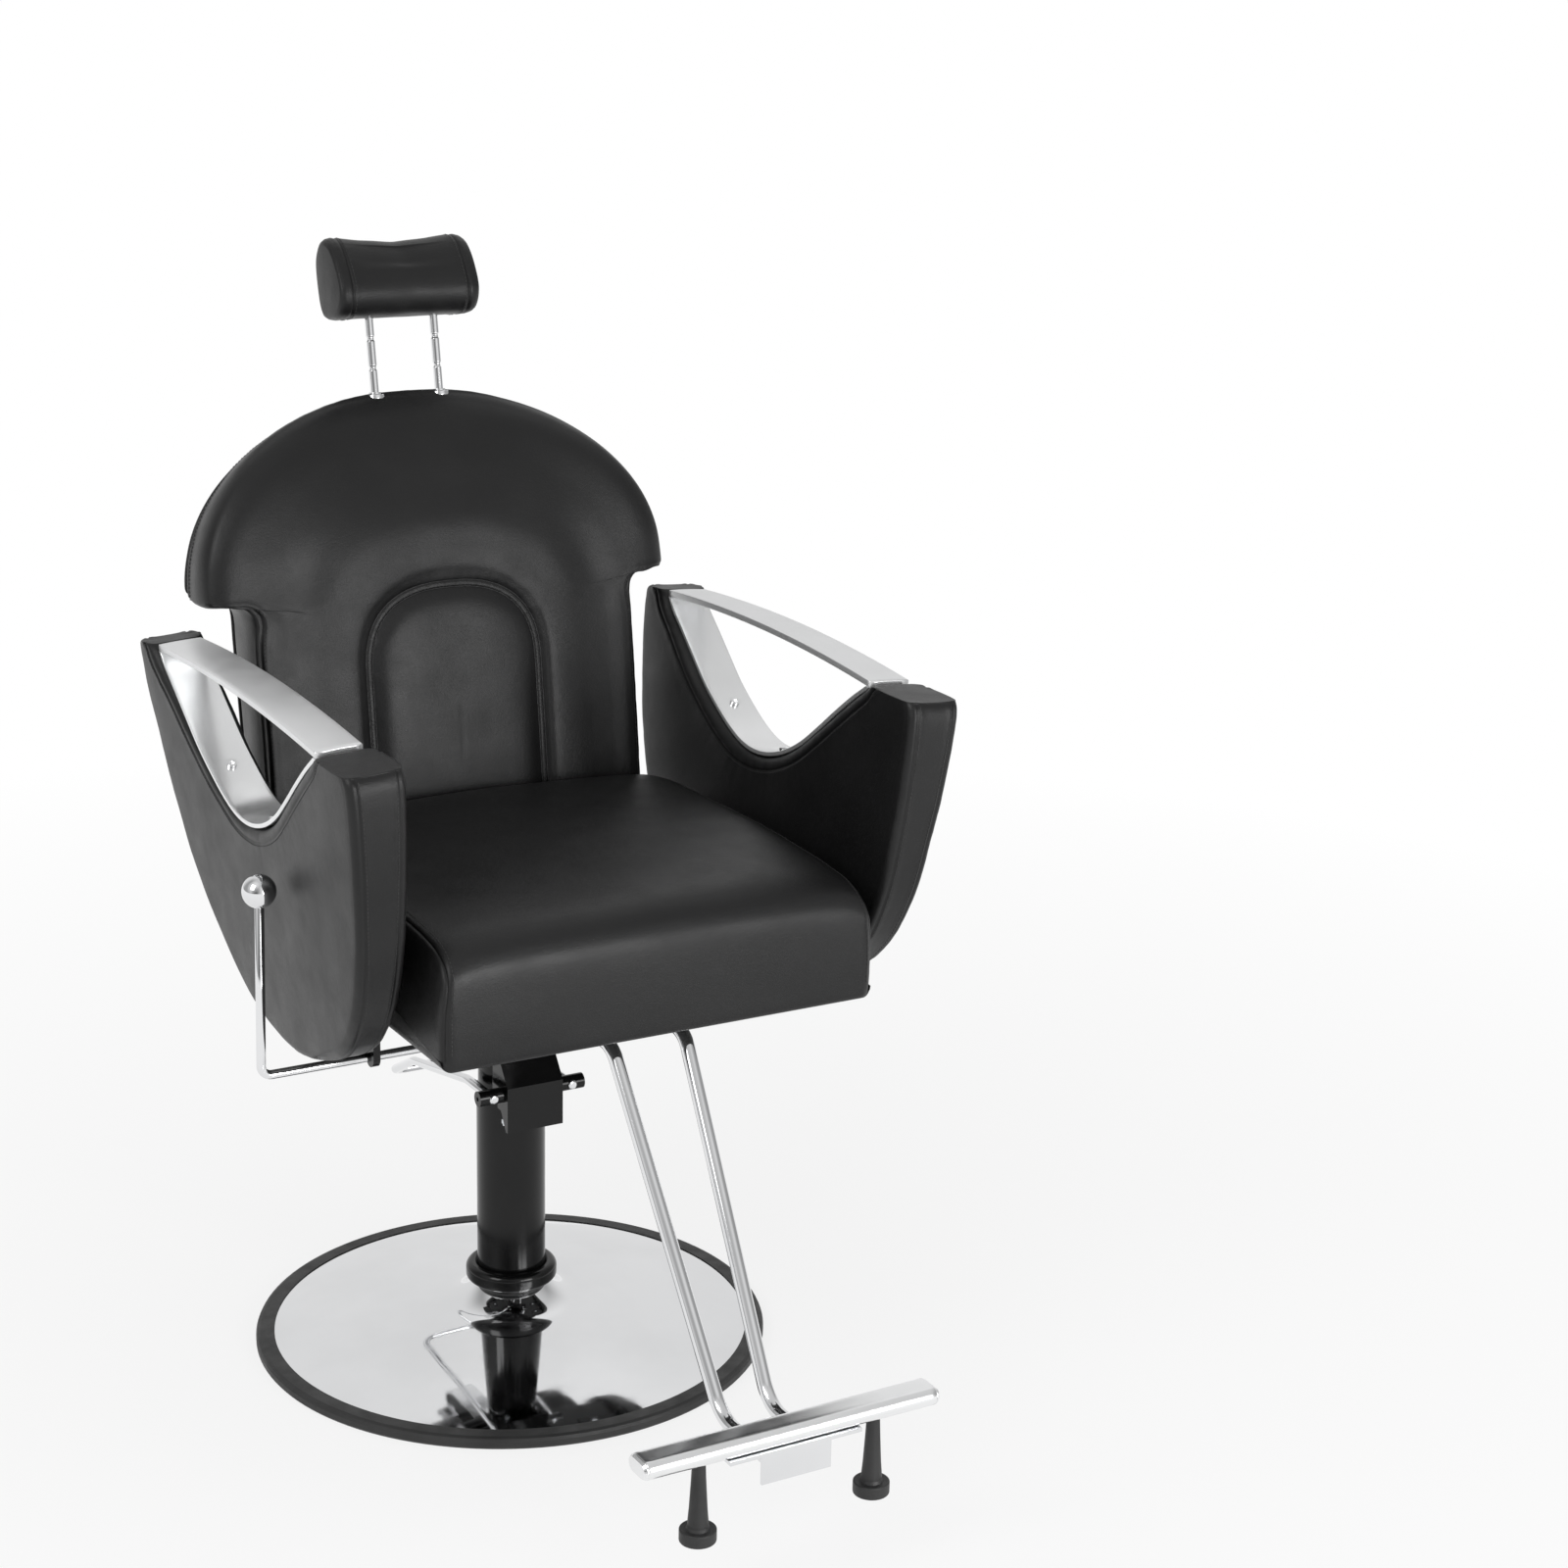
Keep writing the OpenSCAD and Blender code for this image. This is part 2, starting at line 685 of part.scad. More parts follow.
module seat_bracket() {
    inner = bracket_w / 2 - 4;
    depth = bracket_back_y - bracket_front_y;
    color([0.08, 0.08, 0.085])
        difference() {
            union() {
                translate([-bracket_w / 2, bracket_front_y, bracket_z])
                    cube([bracket_w, depth, bracket_t]);
                mirrored() translate([inner, bracket_front_y, bracket_z - 10])
                    cube([4, depth - 90, 11]);
                at_ram() translate([0, 0, hub_z]) cylinder(h = seat_z - hub_z, r = hub_r);
                for (a = [0, 90, 180, 270]) at_ram() rotate(a + 45)
                    translate([hub_r - 2, -3, bracket_z - 22]) cube([22, 6, 23]);
                mirrored() translate([foot_tube_gap / 2, bracket_front_y, foot_tube_z])
                    rotate([-90, 0, 0]) cylinder(h = 70, r = socket_r);
            }
            at_ram() {
                translate([0, 0, hub_z - 1]) cylinder(h = ram_top_z + gap - hub_z + 1, r = ram_r + running);
                cylinder(h = stub_top_z + gap, r = stub_r + running);
            }
            mirrored() translate([foot_tube_gap / 2, bracket_front_y - 1, foot_tube_z])
                rotate([-90, 0, 0]) cylinder(h = 68, r = foot_tube_r);
            for (p = bracket_holes) translate([p.x, p.y, bracket_z - 1])
                cylinder(h = 20, r = 4, $fn = hidden_fn);
            translate([-barrel_half - 1, pivot_y - barrel_out - 2, bracket_z - 20])
                cube([2 * barrel_half + 2, 60, 40]);
        }
}

module bracket_bolts() {
    color([0.7, 0.7, 0.72]) {
        for (p = bracket_holes) translate([p.x, p.y, 0]) {
            translate([0, 0, bracket_z - 5]) cylinder(h = 5, r = 7, $fn = 6);
            translate([0, 0, bracket_z]) cylinder(h = bracket_t + board_t - 1, r = 4, $fn = hidden_fn);
        }
        for (p = arm_bracket_holes) translate([p.x, p.y, 0]) {
            translate([0, 0, seat_z - 10]) cylinder(h = 5, r = 7, $fn = 6);
            translate([0, 0, seat_z - 5]) cylinder(h = 5 + board_t - 1, r = 4, $fn = hidden_fn);
        }
    }
}

function seat_back_y(z) = pivot_y + (z - pivot_z) * tan(back_slope) - back_clear;

// n points evenly between p and q
function between(p, q, n) = [for (k = [1 : n]) p + (q - p) * k / (n + 1)];

// outline of the seat at height z, drawn in by e and by f more at the front
function seat_ring(z, e, f) =
    let (a = seat_half - e, b = seat_back_y(z) - e, c = -seat_front + f, r = seat_corner + e * 0.5,
        flat = concat(
            arc([a - r, c + r], r, -90, 0, 6), between([a, c + r], [a, b - r], 4),
            arc([a - r, b - r], r, 0, 90, 6), between([a - r, b], [r - a, b], 4),
            arc([r - a, b - r], r, 90, 180, 6), between([-a, b - r], [-a, c + r], 4),
            arc([r - a, c + r], r, 180, 270, 6), between([r - a, c], [a - r, c], 4)
        ))
    [for (p = flat) [p.x, p.y, z]];

module seat_panel(h, e) {
    linear_extrude(h) polygon([for (p = seat_ring(seat_z, e, e)) [p.x, p.y]]);
}

module seat_board() {
    color([0.6, 0.47, 0.32])
        difference() {
            translate([0, 0, seat_z]) seat_panel(board_t, foam_lip);
            for (p = concat(bracket_holes, arm_bracket_holes)) translate([p.x, p.y, seat_z - 1])
                cylinder(h = board_t, r = 4, $fn = hidden_fn);
        }
}

module seat_cushion() {
    top = board_top_z + cushion_h;
    color([0.09, 0.09, 0.095])
        difference() {
            loft([
                seat_ring(seat_z + 0.5, 3, 4), seat_ring(seat_z + 6, 0.5, 1),
                seat_ring(board_top_z + 50, 0, 0), seat_ring(board_top_z + 85, 0.5, 1),
                seat_ring(top - 38, 2, 5), seat_ring(top - 27, 5, 13), seat_ring(top - 17, 11, 27),
                seat_ring(top - 10, 22, 46), seat_ring(top - 6, 40, 72), seat_ring(top - 3, 75, 115),
                seat_ring(top - 1, 130, 180), seat_ring(top, 200, 262)
            ]);
            translate([0, 0, seat_z - 1]) seat_panel(board_t + 1, foam_lip);
        }
}

module hinge_cheeks() {
    color([0.8, 0.8, 0.81])
        mirrored() difference() {
            union() {
                translate([cheek_x - cheek_t / 2, 0, 0]) rotate([90, 0, 90]) linear_extrude(cheek_t)
                    hull() {
                        translate([pivot_y, pivot_z]) circle(r = barrel_out - 1.2);
                        translate([pivot_y - 40, bracket_z - 2]) square([50, 2]);
                    }
                translate([cheek_x - 30, pivot_y - 40, bracket_z - 4]) cube([30, 40 - barrel_out - 1, 4]);
            }
            translate([cheek_x, pivot_y, pivot_z]) along_x() cylinder(h = 20, r = pin_r, center = true);
            translate(bracket_holes[5]) cylinder(h = bracket_z + 1, r = 9);
        }
}

module hinge_pin() {
    half = cheek_x + cheek_t / 2;
    color([0.75, 0.75, 0.76])
        translate([0, pivot_y, pivot_z]) along_x() {
            cylinder(h = 2 * half, r = pin_r, center = true);
            for (s = [-1, 1]) translate([0, 0, s * (half + 3)])
                cylinder(h = 6, r = pin_r + 4, center = true, $fn = 6);
        }
}

// ---------------------------------------------------------------- arms

// outer edge of an arm, from the back of its top round the bottom to the front of its top
arm_outer = [
    [216, 833], [226, 826], [228, 800], [225, 762], [215, 710], [200, 650], [176, 590],
    [136, 532], [90, 490], [28, 456], [-68, 440], [-157, 449], [-262, 490], [-315, 538],
    [-349, 603], [-369, 680], [-380, 745], [-385, 804], [-379, 822]
];
// inner edge, from the back of the scoop to its front
arm_inner = [
    [185, 833], [177, 827], [162, 809], [134, 787], [104, 763], [72, 738], [36, 716],
    [4, 700], [-26, 690], [-56, 687], [-88, 691], [-122, 702], [-156, 720], [-190, 745],
    [-224, 772], [-256, 796], [-280, 812], [-291, 820], [-298, 823]
];
arm_profile_z = 825; // top height that these two edges are drawn for

// frame of an arm at its true lean, for the arm on the +X side
module arm_frame() {
    translate([arm_mid, 0, arm_top_z]) rotate([0, arm_lean, 0])
        translate([0, 0, -arm_top_z]) children();
}

// half thickness of an arm at point p of its profile, and how far it leans in there
function arm_half(p) = (arm_t - arm_taper * (arm_top_z - p.y)) / 2;
function arm_shift(p) = (p.y - arm_top_z) * tan(arm_toe * max(0, min(1, (p.x + 300) / 500)));

// cross-section of an arm between outer point a and inner point b, padded on both faces
function arm_section(a, b) =
    let (e = arm_edge, d = unit(b - a), l = norm(b - a),
        rim = [[0, -e], [e * 0.29, -e * 0.29], [e, 0], [l * 0.35, arm_crown],
            [l * 0.65, arm_crown], [l - e, 0], [l - e * 0.29, -e * 0.29], [l, -e]])
    concat(
        [for (q = rim) let (p = a + d * q[0]) [arm_shift(p) + arm_half(p) + q[1], p.x, p.y]],
        [for (i = [len(rim) - 1 : -1 : 0])
            let (q = rim[i], p = a + d * q[0]) [arm_shift(p) - arm_half(p) - q[1], p.x, p.y]]
    );

module arm_pad() {
    dz = [0, arm_top_z - arm_profile_z];
    outer = spline([for (p = arm_outer) p + dz], 2);
    inner = spline([for (p = arm_inner) p + dz], 2);
    color([0.09, 0.09, 0.095])
        arm_frame() loft([for (i = [0 : len(outer) - 1]) arm_section(outer[i], inner[i])]);
}

module arm_pad_left() arm_pad();
module arm_pad_right() mirror([1, 0, 0]) arm_pad();

// top of the arm bar at distance y from the column's axis
bar_mid_y = (bar_back_y + bar_front_y) / 2;
bar_half = (bar_back_y - bar_front_y) / 2;
function bar_line(y) = arm_top_z + 5.5 + 4.5 * (y - bar_mid_y) / bar_half
    + bar_rise * (1 - pow((y - bar_mid_y) / bar_half, 2));

module arm_bar() {
    steps = 20;
    ys = [for (i = [0 : steps]) bar_back_y - 2 * bar_half * i / steps];
    color([0.85, 0.85, 0.86])
        arm_frame() rotate([90, 0, 90]) linear_extrude(trim_w, center = true) polygon(concat(
            [for (y = ys) [y, bar_line(y)]],
            [for (i = [steps : -1 : 0]) [ys[i] - sign(ys[i] - bar_mid_y) * 2, bar_line(ys[i]) - bar_t]]
        ));
}

module arm_bar_left() arm_bar();
module arm_bar_right() mirror([1, 0, 0]) arm_bar();

function strap_line() =
    let (dz = [0, arm_top_z - arm_profile_z + 0.7])
    spline([for (i = [1 : len(arm_inner) - 2]) arm_inner[i] + dz], 3);
arm_bolt_at = [14, 26, 38];
arm_bolt_len = 18;

module arm_strap() {
    line = strap_line();
    last = len(line) - 1;
    color([0.85, 0.85, 0.86])
        arm_frame() difference() {
            rotate([90, 0, 90]) linear_extrude(trim_w, center = true) difference() {
                polygon(concat(line, [for (i = [last : -1 : 0])
                    line[i] + arm_strap_t * line_normal(line, i)]));
                polygon(concat(
                    [for (i = [0 : 20]) let (y = bar_back_y + 8 - 2 * (bar_half + 8) * i / 20)
                        [y, bar_line(y) - bar_t - 0.4]],
                    [[bar_front_y - 8, arm_top_z + 60], [bar_back_y + 8, arm_top_z + 60]]
                ));
            }
            arm_bolt_places() cylinder(h = 30, r = 3, center = true, $fn = hidden_fn);
        }
}

// places children on the strap, with +Z pointing out of the scoop
module arm_bolt_places() {
    line = strap_line();
    for (i = arm_bolt_at) {
        middle = (line[i] + line[i + 1]) / 2;
        run = line[i + 1] - line[i];
        translate([0, middle.x, middle.y]) rotate([atan2(-run.y, -run.x), 0, 0]) children();
    }
}

module arm_strap_left() arm_strap();
module arm_strap_right() mirror([1, 0, 0]) arm_strap();

module arm_bolts() {
    color([0.8, 0.8, 0.81])
        mirrored() arm_frame() arm_bolt_places() difference() {
            union() {
                translate([0, 0, arm_strap_t + 0.2]) cylinder(h = 3.3, r = 5.5);
                translate([0, 0, -arm_bolt_len])
                    cylinder(h = arm_strap_t + arm_bolt_len + 0.3, r = 3, $fn = hidden_fn);
            }
            translate([0, 0, arm_strap_t + 1]) cylinder(h = 4, r = 2.6, $fn = 6);
        }
}

module arm_brackets() {
    t = 5;
    inner = arm_bracket_x - 30;
    color([0.1, 0.1, 0.105])
        for (y = arm_bracket_y) mirrored() difference() {
            union() {
                translate([inner, y - 20, seat_z - t]) cube([arm_bracket_out - inner, 40, t]);
                translate([arm_bracket_out - t, y - 20, seat_z - 34]) cube([t, 40, 34]);
            }
            translate([arm_bracket_x, y, seat_z - 8]) cylinder(h = 10, r = 4, $fn = hidden_fn);
        }
}

// ---------------------------------------------------------------- footrest

module footrest_frame() {
    socket_end = bracket_front_y + 65;
    side = function (s) [
        [s * foot_tube_gap / 2, bracket_front_y - 2, foot_tube_z],
        [s * foot_tube_gap / 2, foot_knee_y, foot_tube_z],
        [s * foot_end_gap / 2, foot_heel_y, foot_end_z],
        [s * foot_end_gap / 2, foot_y - foot_bar_w / 2 + 6, foot_end_z]
    ];
    color([0.85, 0.85, 0.86])
        for (s = [-1, 1]) {
            rod_along(rounded(side(s), [30, 45], 6), foot_tube_r, [1, 0, 0]);
            translate([s * foot_tube_gap / 2, bracket_front_y - 4, foot_tube_z]) rotate([-90, 0, 0])
                cylinder(h = socket_end - bracket_front_y + 4, r = foot_tube_r);
        }
}

module at_foot_bar() translate([0, foot_y, foot_bar_z + foot_bar_t / 2]) rotate([90, 0, 90]) children();

module foot_bar() {
    r = foot_bar_t / 2;
    color([0.85, 0.85, 0.86])
        at_foot_bar() linear_extrude(foot_bar_len - 2 * foot_cap_t, center = true) {
            square([foot_bar_w - 2 * r, foot_bar_t], center = true);
            for (s = [-1, 1]) translate([s * (foot_bar_w / 2 - r), 0]) circle(r = r);
        }
}

module foot_bar_caps() {
    r = foot_bar_t / 2 - 0.4;
    color([0.8, 0.8, 0.81])
        mirrored() at_foot_bar() translate([0, 0, foot_bar_len / 2 - foot_cap_t])
            hull() for (s = [-1, 1]) translate([s * (foot_bar_w - foot_bar_t) / 2, 0]) {
                cylinder(h = 1, r = r, $fn = hidden_fn);
                cylinder(h = foot_cap_t, r = r - 2, $fn = hidden_fn);
            }
}

module foot_bracket() {
    t = 4;
    wide = foot_pad_gap - 50;
    front = foot_y - foot_bar_w / 2;
    color([0.82, 0.82, 0.83]) {
        translate([-wide / 2, front, foot_bar_z - t]) cube([wide, foot_bar_w + 24, t]);
        translate([-40, front, foot_bar_z - t - 30]) cube([80, 3, 31]);
    }
}

module foot_pads() {
    low = foot_bar_z - foot_pad_h;
    color([0.05, 0.05, 0.055])
        mirrored() translate([foot_pad_gap / 2, foot_y, 0]) rotate_extrude() polygon(concat(
            [[0, low], [16.5, low]],
            arc([17, low + 2], 2, -70, 0, 3),
            [[19, low + 12]],
            arc([17.5, low + 12.5], 1.5, 0, 90, 3),
            [[12.5, low + 14], [11, low + 17], [9.4, low + 36], [7.6, low + 68],
                [6.8, foot_bar_z], [0, foot_bar_z]]
        ));
}

// ---------------------------------------------------------------- recline lever and strut

module lever_bearings() {
    color([0.1, 0.1, 0.105])
        for (x = bearing_x) difference() {
            union() {
                translate([x, lever_y, 0]) rotate([90, 0, 90]) linear_extrude(bearing_t, center = true)
                    union() {
                        translate([0, lever_z]) circle(r = lever_r + 6);
                        translate([-lever_r - 6, lever_z]) square([2 * lever_r + 12, seat_z - lever_z]);
                    }
                translate([x - 16, lever_y - 15, seat_z - 4]) cube([32, 30, 4]);
            }
            translate([x, lever_y, lever_z]) along_x()
                cylinder(h = bearing_t + 2, r = lever_r + running, center = true);
        }
}

module lever_frame() translate([0, lever_y, lever_z]) rotate([lever_lean, 0, 0]) children();

module recline_lever() {
    color([0.85, 0.85, 0.86])
        lever_frame() {
            translate([-lever_x + lever_bend, 0, 0]) along_x()
                cylinder(h = strut_x + 12 + lever_x - lever_bend, r = lever_r);
            translate([-lever_x + lever_bend, 0, lever_bend]) rotate([90, 0, 0])
                rotate_extrude(angle = 90) translate([-lever_bend, 0]) circle(r = lever_r);
            translate([-lever_x, 0, lever_bend])
                cylinder(h = ball_z - lever_z - ball_d / 2 + 4 - lever_bend, r = lever_r);
        }
}

module lever_ball() {
    color([0.88, 0.88, 0.89])
        lever_frame() translate([-lever_x, 0, ball_z - lever_z]) difference() {
            sphere(r = ball_d / 2);
            translate([0, 0, -ball_d]) cylinder(h = ball_d / 2 + 4, r = lever_r);
        }
}

module lever_cam() {
    width = 12;
    color([0.6, 0.6, 0.62])
        lever_frame() translate([strut_x, 0, 0]) difference() {
            union() {
                along_x() cylinder(h = width, r = lever_r + 5, center = true);
                translate([-width / 2, 0, -4]) cube([width, 15, 8]);
            }
            along_x() cylinder(h = width + 2, r = lever_r, center = true);
        }
}

module strut_mount() {
    lug = 5;
    half = strut_eye_w / 2 + 1;
    color([0.1, 0.1, 0.105]) {
        difference() {
            for (s = [-1, 1]) translate([strut_x + s * (half + lug / 2), 0, 0]) rotate([90, 0, 90])
                linear_extrude(lug, center = true) {
                    translate(strut_front) circle(r = 13);
                    translate([strut_front.x - 13, strut_front.y]) square([26, bracket_z - strut_front.y]);
                }
            translate([strut_x, strut_front.x, strut_front.y]) along_x()
                cylinder(h = 60, r = 5, center = true);
        }
        translate([strut_x, strut_front.x, strut_front.y]) along_x() {
            cylinder(h = 2 * (half + lug), r = 5, center = true);
            for (s = [-1, 1]) translate([0, 0, s * (half + lug + 1.5)])
                cylinder(h = 3, r = 8, center = true);
        }
    }
}

cylinder_start = 20;
cylinder_end = 180;
strut_piston = 130;
clevis_len = 34;
strut_bore_r = strut_d / 2 - 2;

module strut_cylinder() {
    color([0.07, 0.07, 0.075])
        strut_frame() difference() {
            union() {
                along_x() cylinder(h = strut_eye_w, r = strut_eye_r, center = true);
                cylinder(h = cylinder_start + 2, r = 8);
                translate([0, 0, cylinder_start])
                    cylinder(h = cylinder_end - cylinder_start, r = strut_d / 2);
            }
            along_x() cylinder(h = strut_eye_w + 2, r = 5 + running, center = true);
            translate([0, 0, cylinder_start + 8])
                cylinder(h = cylinder_end - cylinder_start - 16, r = strut_bore_r);
            translate([0, 0, cylinder_end - 10]) cylinder(h = 12, r = strut_rod_d / 2 + running);
        }
}

module strut_rod() {
    color([0.85, 0.85, 0.86])
        strut_frame() {
            translate([0, 0, strut_piston]) {
                cylinder(h = strut_len - clevis_len + 4 - strut_piston, r = strut_rod_d / 2);
                cylinder(h = 12, r = strut_bore_r - running);
            }
        }
}

module strut_head() {
    color([0.06, 0.06, 0.065])
        strut_frame() translate([0, 0, strut_len - clevis_len - 25]) tube(25, 10, strut_rod_d / 2);
}

module strut_clevis() {
    w = 24;
    h = 20;
    root = 7;
    slot = arm_plate_t + 1.2;
    color([0.82, 0.82, 0.83])
        strut_frame() difference() {
            union() {
                translate([-w / 2, -h / 2, strut_len - clevis_len]) cube([w, h, clevis_len]);
                translate([0, 0, strut_len]) along_x() cylinder(h = w, r = h / 2, center = true);
            }
            translate([-slot / 2, -h, strut_len - clevis_len + root]) cube([slot, 2 * h, 2 * clevis_len]);
            translate([0, 0, strut_len]) along_x() cylinder(h = w + 2, r = clevis_pin_r, center = true);
            translate([0, 0, strut_len - clevis_len - 1]) cylinder(h = 5, r = strut_rod_d / 2);
        }
}

module clevis_pin() {
    color([0.7, 0.7, 0.72])
        strut_frame() translate([0, 0, strut_len]) along_x() {
            cylinder(h = 30, r = clevis_pin_r, center = true);
            for (s = [-1, 1]) translate([0, 0, s * 14]) cylinder(h = 4, r = 6.5, center = true, $fn = 6);
        }
}

// ---------------------------------------------------------------- back

strap_path = [
    [strap_tail_w, 335], [strap_tail_w, 190]
];
function back_to_world(p) = [
    pivot_y + p.y * sin(back_slope) + p.x * cos(back_slope),
    pivot_z + p.y * cos(back_slope) - p.x * sin(back_slope)
];
strap_runs = [
    back_to_world(strap_path[0]), back_to_world(strap_path[1]),
    [pivot_y + 186.5, pivot_z + 81], [pivot_y + 153.5, pivot_z - 7], [pivot_y + barrel_out - 2, pivot_z]
];
strap_bends = [25, 75, 65];

module strap_shape(grow) {
    line = rounded(strap_runs, strap_bends, 10);
    rotate([90, 0, 90]) linear_extrude(strap_w + 2 * grow, center = true)
        polygon(strip_outline(line, strap_t + 2 * grow));
}

module back_strap() color([0.82, 0.82, 0.83]) difference() {
    strap_shape(0);
    strap_bolt_places() cylinder(h = 40, r = 4, center = true, $fn = hidden_fn);
}

strap_bolts_s = [225, 265, 305];
module strap_bolt_places() {
    back_frame() for (s = strap_bolts_s) for (x = [-13, 13])
        translate([x, back_rear - cover_t, s]) rotate([-90, 0, 0]) children();
}

module strap_bolts() {
    color([0.7, 0.7, 0.72])
        strap_bolt_places() {
            translate([0, 0, -back_board_t + 1])
                cylinder(h = back_board_t + strap_t - 1, r = 4, $fn = hidden_fn);
            translate([0, 0, strap_t + 0.2]) cylinder(h = 2.5, r = 7);
        }
}

module hinge_barrel() {
    color([0.08, 0.08, 0.085])
        difference() {
            union() {
                translate([0, pivot_y, pivot_z]) along_x()
                    cylinder(h = 2 * barrel_half, r = barrel_out, center = true);
                translate([strut_x - arm_plate_t / 2, 0, 0]) rotate([90, 0, 90]) linear_extrude(arm_plate_t) {
                    hull() {
                        translate([pivot_y, pivot_z]) circle(r = barrel_out);
                        translate([pivot_y + 52, pivot_z - 6]) circle(r = 9);
                        translate(clevis_at) circle(r = arm_end_r);
                    }
                }
            }
            translate([0, pivot_y, pivot_z]) along_x()
                cylinder(h = 2 * barrel_half + 2, r = pin_r + running, center = true);
            translate([strut_x, clevis_at.x, clevis_at.y]) along_x()
                cylinder(h = arm_plate_t + 2, r = clevis_pin_r + pivot_play, center = true);
        }
}

dome_power = 2 / 2.09;
wing_s = notch_s + 12;
// right half of the outline of the back, from the middle of its lower edge to its top
function back_half(e) =
    let (w = waist_w / 2 - e, d = dome_w / 2 - e, low = back_low_s + e)
    concat(
        [[w * 0.3, low], [w * 0.6, low]],
        arc([w - 38, low + 38], 38, -90, 0, 3),
        [for (s = [190, 250, 310, 350]) [w, s]],
        arc([w + 22, notch_s + e - 22], 22, 180, 100, 2),
        arc([d - 12, notch_s + e + 12], 12, -80, 0, 2),
        [for (i = [1 : 9]) let (a = 90 * i / 10)
            [d * pow(cos(a), dome_power), wing_s + (dome_s - e - wing_s) * pow(sin(a), dome_power)]]
    );
// matching points on the edge of the lumbar panel
function lumbar_half_line(e) =
    let (w = lumbar_half - e, low = back_low_s + 14, shoulder = 300, top = lumbar_top_s - e)
    concat(
        [[w * 0.3, low], [w * 0.55, low], [w * 0.78, low], [w * 0.92, low + 2], [w, low + 8], [w, low + 20]],
        [for (s = [190, 240, 285]) [w, s]],
        [for (a = [6, 16, 25, 33, 40, 46, 52, 57, 62, 66, 70, 73, 76, 79, 82, 85.5])
            [w * pow(cos(a), 0.8), shoulder + (top - shoulder) * pow(sin(a), 0.8)]]
    );
function whole(half, low, top) = concat(
    [[0, low]], half, [[0, top]],
    [for (i = [len(half) - 1 : -1 : 0]) [-half[i].x, half[i].y]]
);
function back_outline(e) = whole(back_half(e), back_low_s + e, dome_s - e);
function lumbar_outline(e) = whole(lumbar_half_line(e), back_low_s + 14, lumbar_top_s - e);

// front surface of the foam, square to the back, with its crown and its roll to the top
function back_face(p) =
    let (s = p.y, x = abs(p.x) / (dome_w / 2),
        roll = s < 430 ? 12 * pow((430 - s) / 330, 2) : 76 * pow((s - 430) / (dome_s - 430), 2.1))
    -back_front + roll + 14 * pow(x, 4);

// depth of the side wall behind that surface
function back_wall(p) = foam_rear - 6 - back_face(p);

function mix(a, b, t) = [for (i = [0 : len(a) - 1]) a[i] * (1 - t) + b[i] * t];
// ring of the cushion, t of the way from the outline to the lumbar panel, sunk by d at most
function back_ring(a, b, t, d) =
    [for (p = mix(a, b, t)) [p.x, back_face(p) + min(d, back_wall(p) * d / 50), p.y]];

module back_cushion() {
    edge = back_outline(0);
    panel = lumbar_outline(0);
    inner = lumbar_outline(16);
    rims = [
        [for (p = back_outline(9)) [p.x, foam_rear, p.y]],
        [for (p = back_outline(4)) [p.x, foam_rear - min(14, back_wall(p) * 0.3), p.y]],
        [for (p = edge) [p.x, back_face(p) + back_wall(p) * 0.45, p.y]],
        back_ring(edge, panel, 0.012, 13), back_ring(edge, panel, 0.05, 4),
        back_ring(edge, panel, 0.14, 0), back_ring(edge, panel, 0.4, -1),
        back_ring(edge, panel, 0.75, -1), back_ring(edge, panel, 0.93, 2),
        back_ring(edge, panel, 1, 7),
        back_ring(inner, inner, 0, 1), back_ring(lumbar_outline(32), inner, 0, -2),
        back_ring(lumbar_outline(70), inner, 0, -3)
    ];
    color([0.09, 0.09, 0.095])
        difference() {
            back_frame() loft(rims);
            at_posts() rotate_extrude() polygon([
                [0, bore_low_s], [guide_r, bore_low_s], [guide_r, guide_top_s],
                [collar_out, guide_top_s], [collar_out, guide_top_s + 34], [0, guide_top_s + 34]
            ]);
        }
}

module back_board() {
    color([0.6, 0.47, 0.32])
        difference() {
            back_frame() translate([0, back_rear - cover_t, 0]) rotate([90, 0, 0])
                linear_extrude(back_board_t) polygon(back_outline(12));
            strap_bolt_places() translate([0, 0, -back_board_t + 1])
                cylinder(h = 40, r = 4, $fn = hidden_fn);
        }
}

module back_cover() {
    rear = function (e, w) [for (p = back_outline(e)) [p.x, w, p.y]];
    color([0.08, 0.08, 0.085])
        difference() {
            back_frame() loft([
                rear(28, back_rear), rear(20, back_rear - 0.6), rear(14, back_rear - 3),
                rear(10, back_rear - 8), rear(9.5, back_rear - cover_t)
            ]);
            strap_shape(0.5);
            strap_bolt_places() translate([0, 0, 4]) cylinder(h = 6.5, r = 8, $fn = hidden_fn);
        }
}

module at_posts() back_frame() mirrored() translate([post_gap / 2, post_w, 0]) children();

module post_guides() {
    color([0.15, 0.15, 0.16])
        at_posts() translate([0, 0, guide_top_s - guide_len])
            tube(guide_len, guide_r, post_d / 2 + guide_gap);
}

module guide_collars() {
    color([0.82, 0.82, 0.83])
        at_posts() translate([0, 0, guide_top_s]) difference() {
            union() {
                cylinder(h = 5, r1 = collar_out, r2 = collar_out - 1);
                cylinder(h = 7.5, r = 7.5);
            }
            translate([0, 0, -1]) cylinder(h = 10, r = post_d / 2 + guide_gap);
        }
}

module back_bumpers() {
    color([0.05, 0.05, 0.055])
        back_frame() mirrored() translate([60, 68, back_low_s - 15]) {
            cylinder(h = 15, r1 = 5, r2 = 8);
            translate([0, 0, -3]) cylinder(h = 3, r = 6);
        }
}

// ---------------------------------------------------------------- headrest

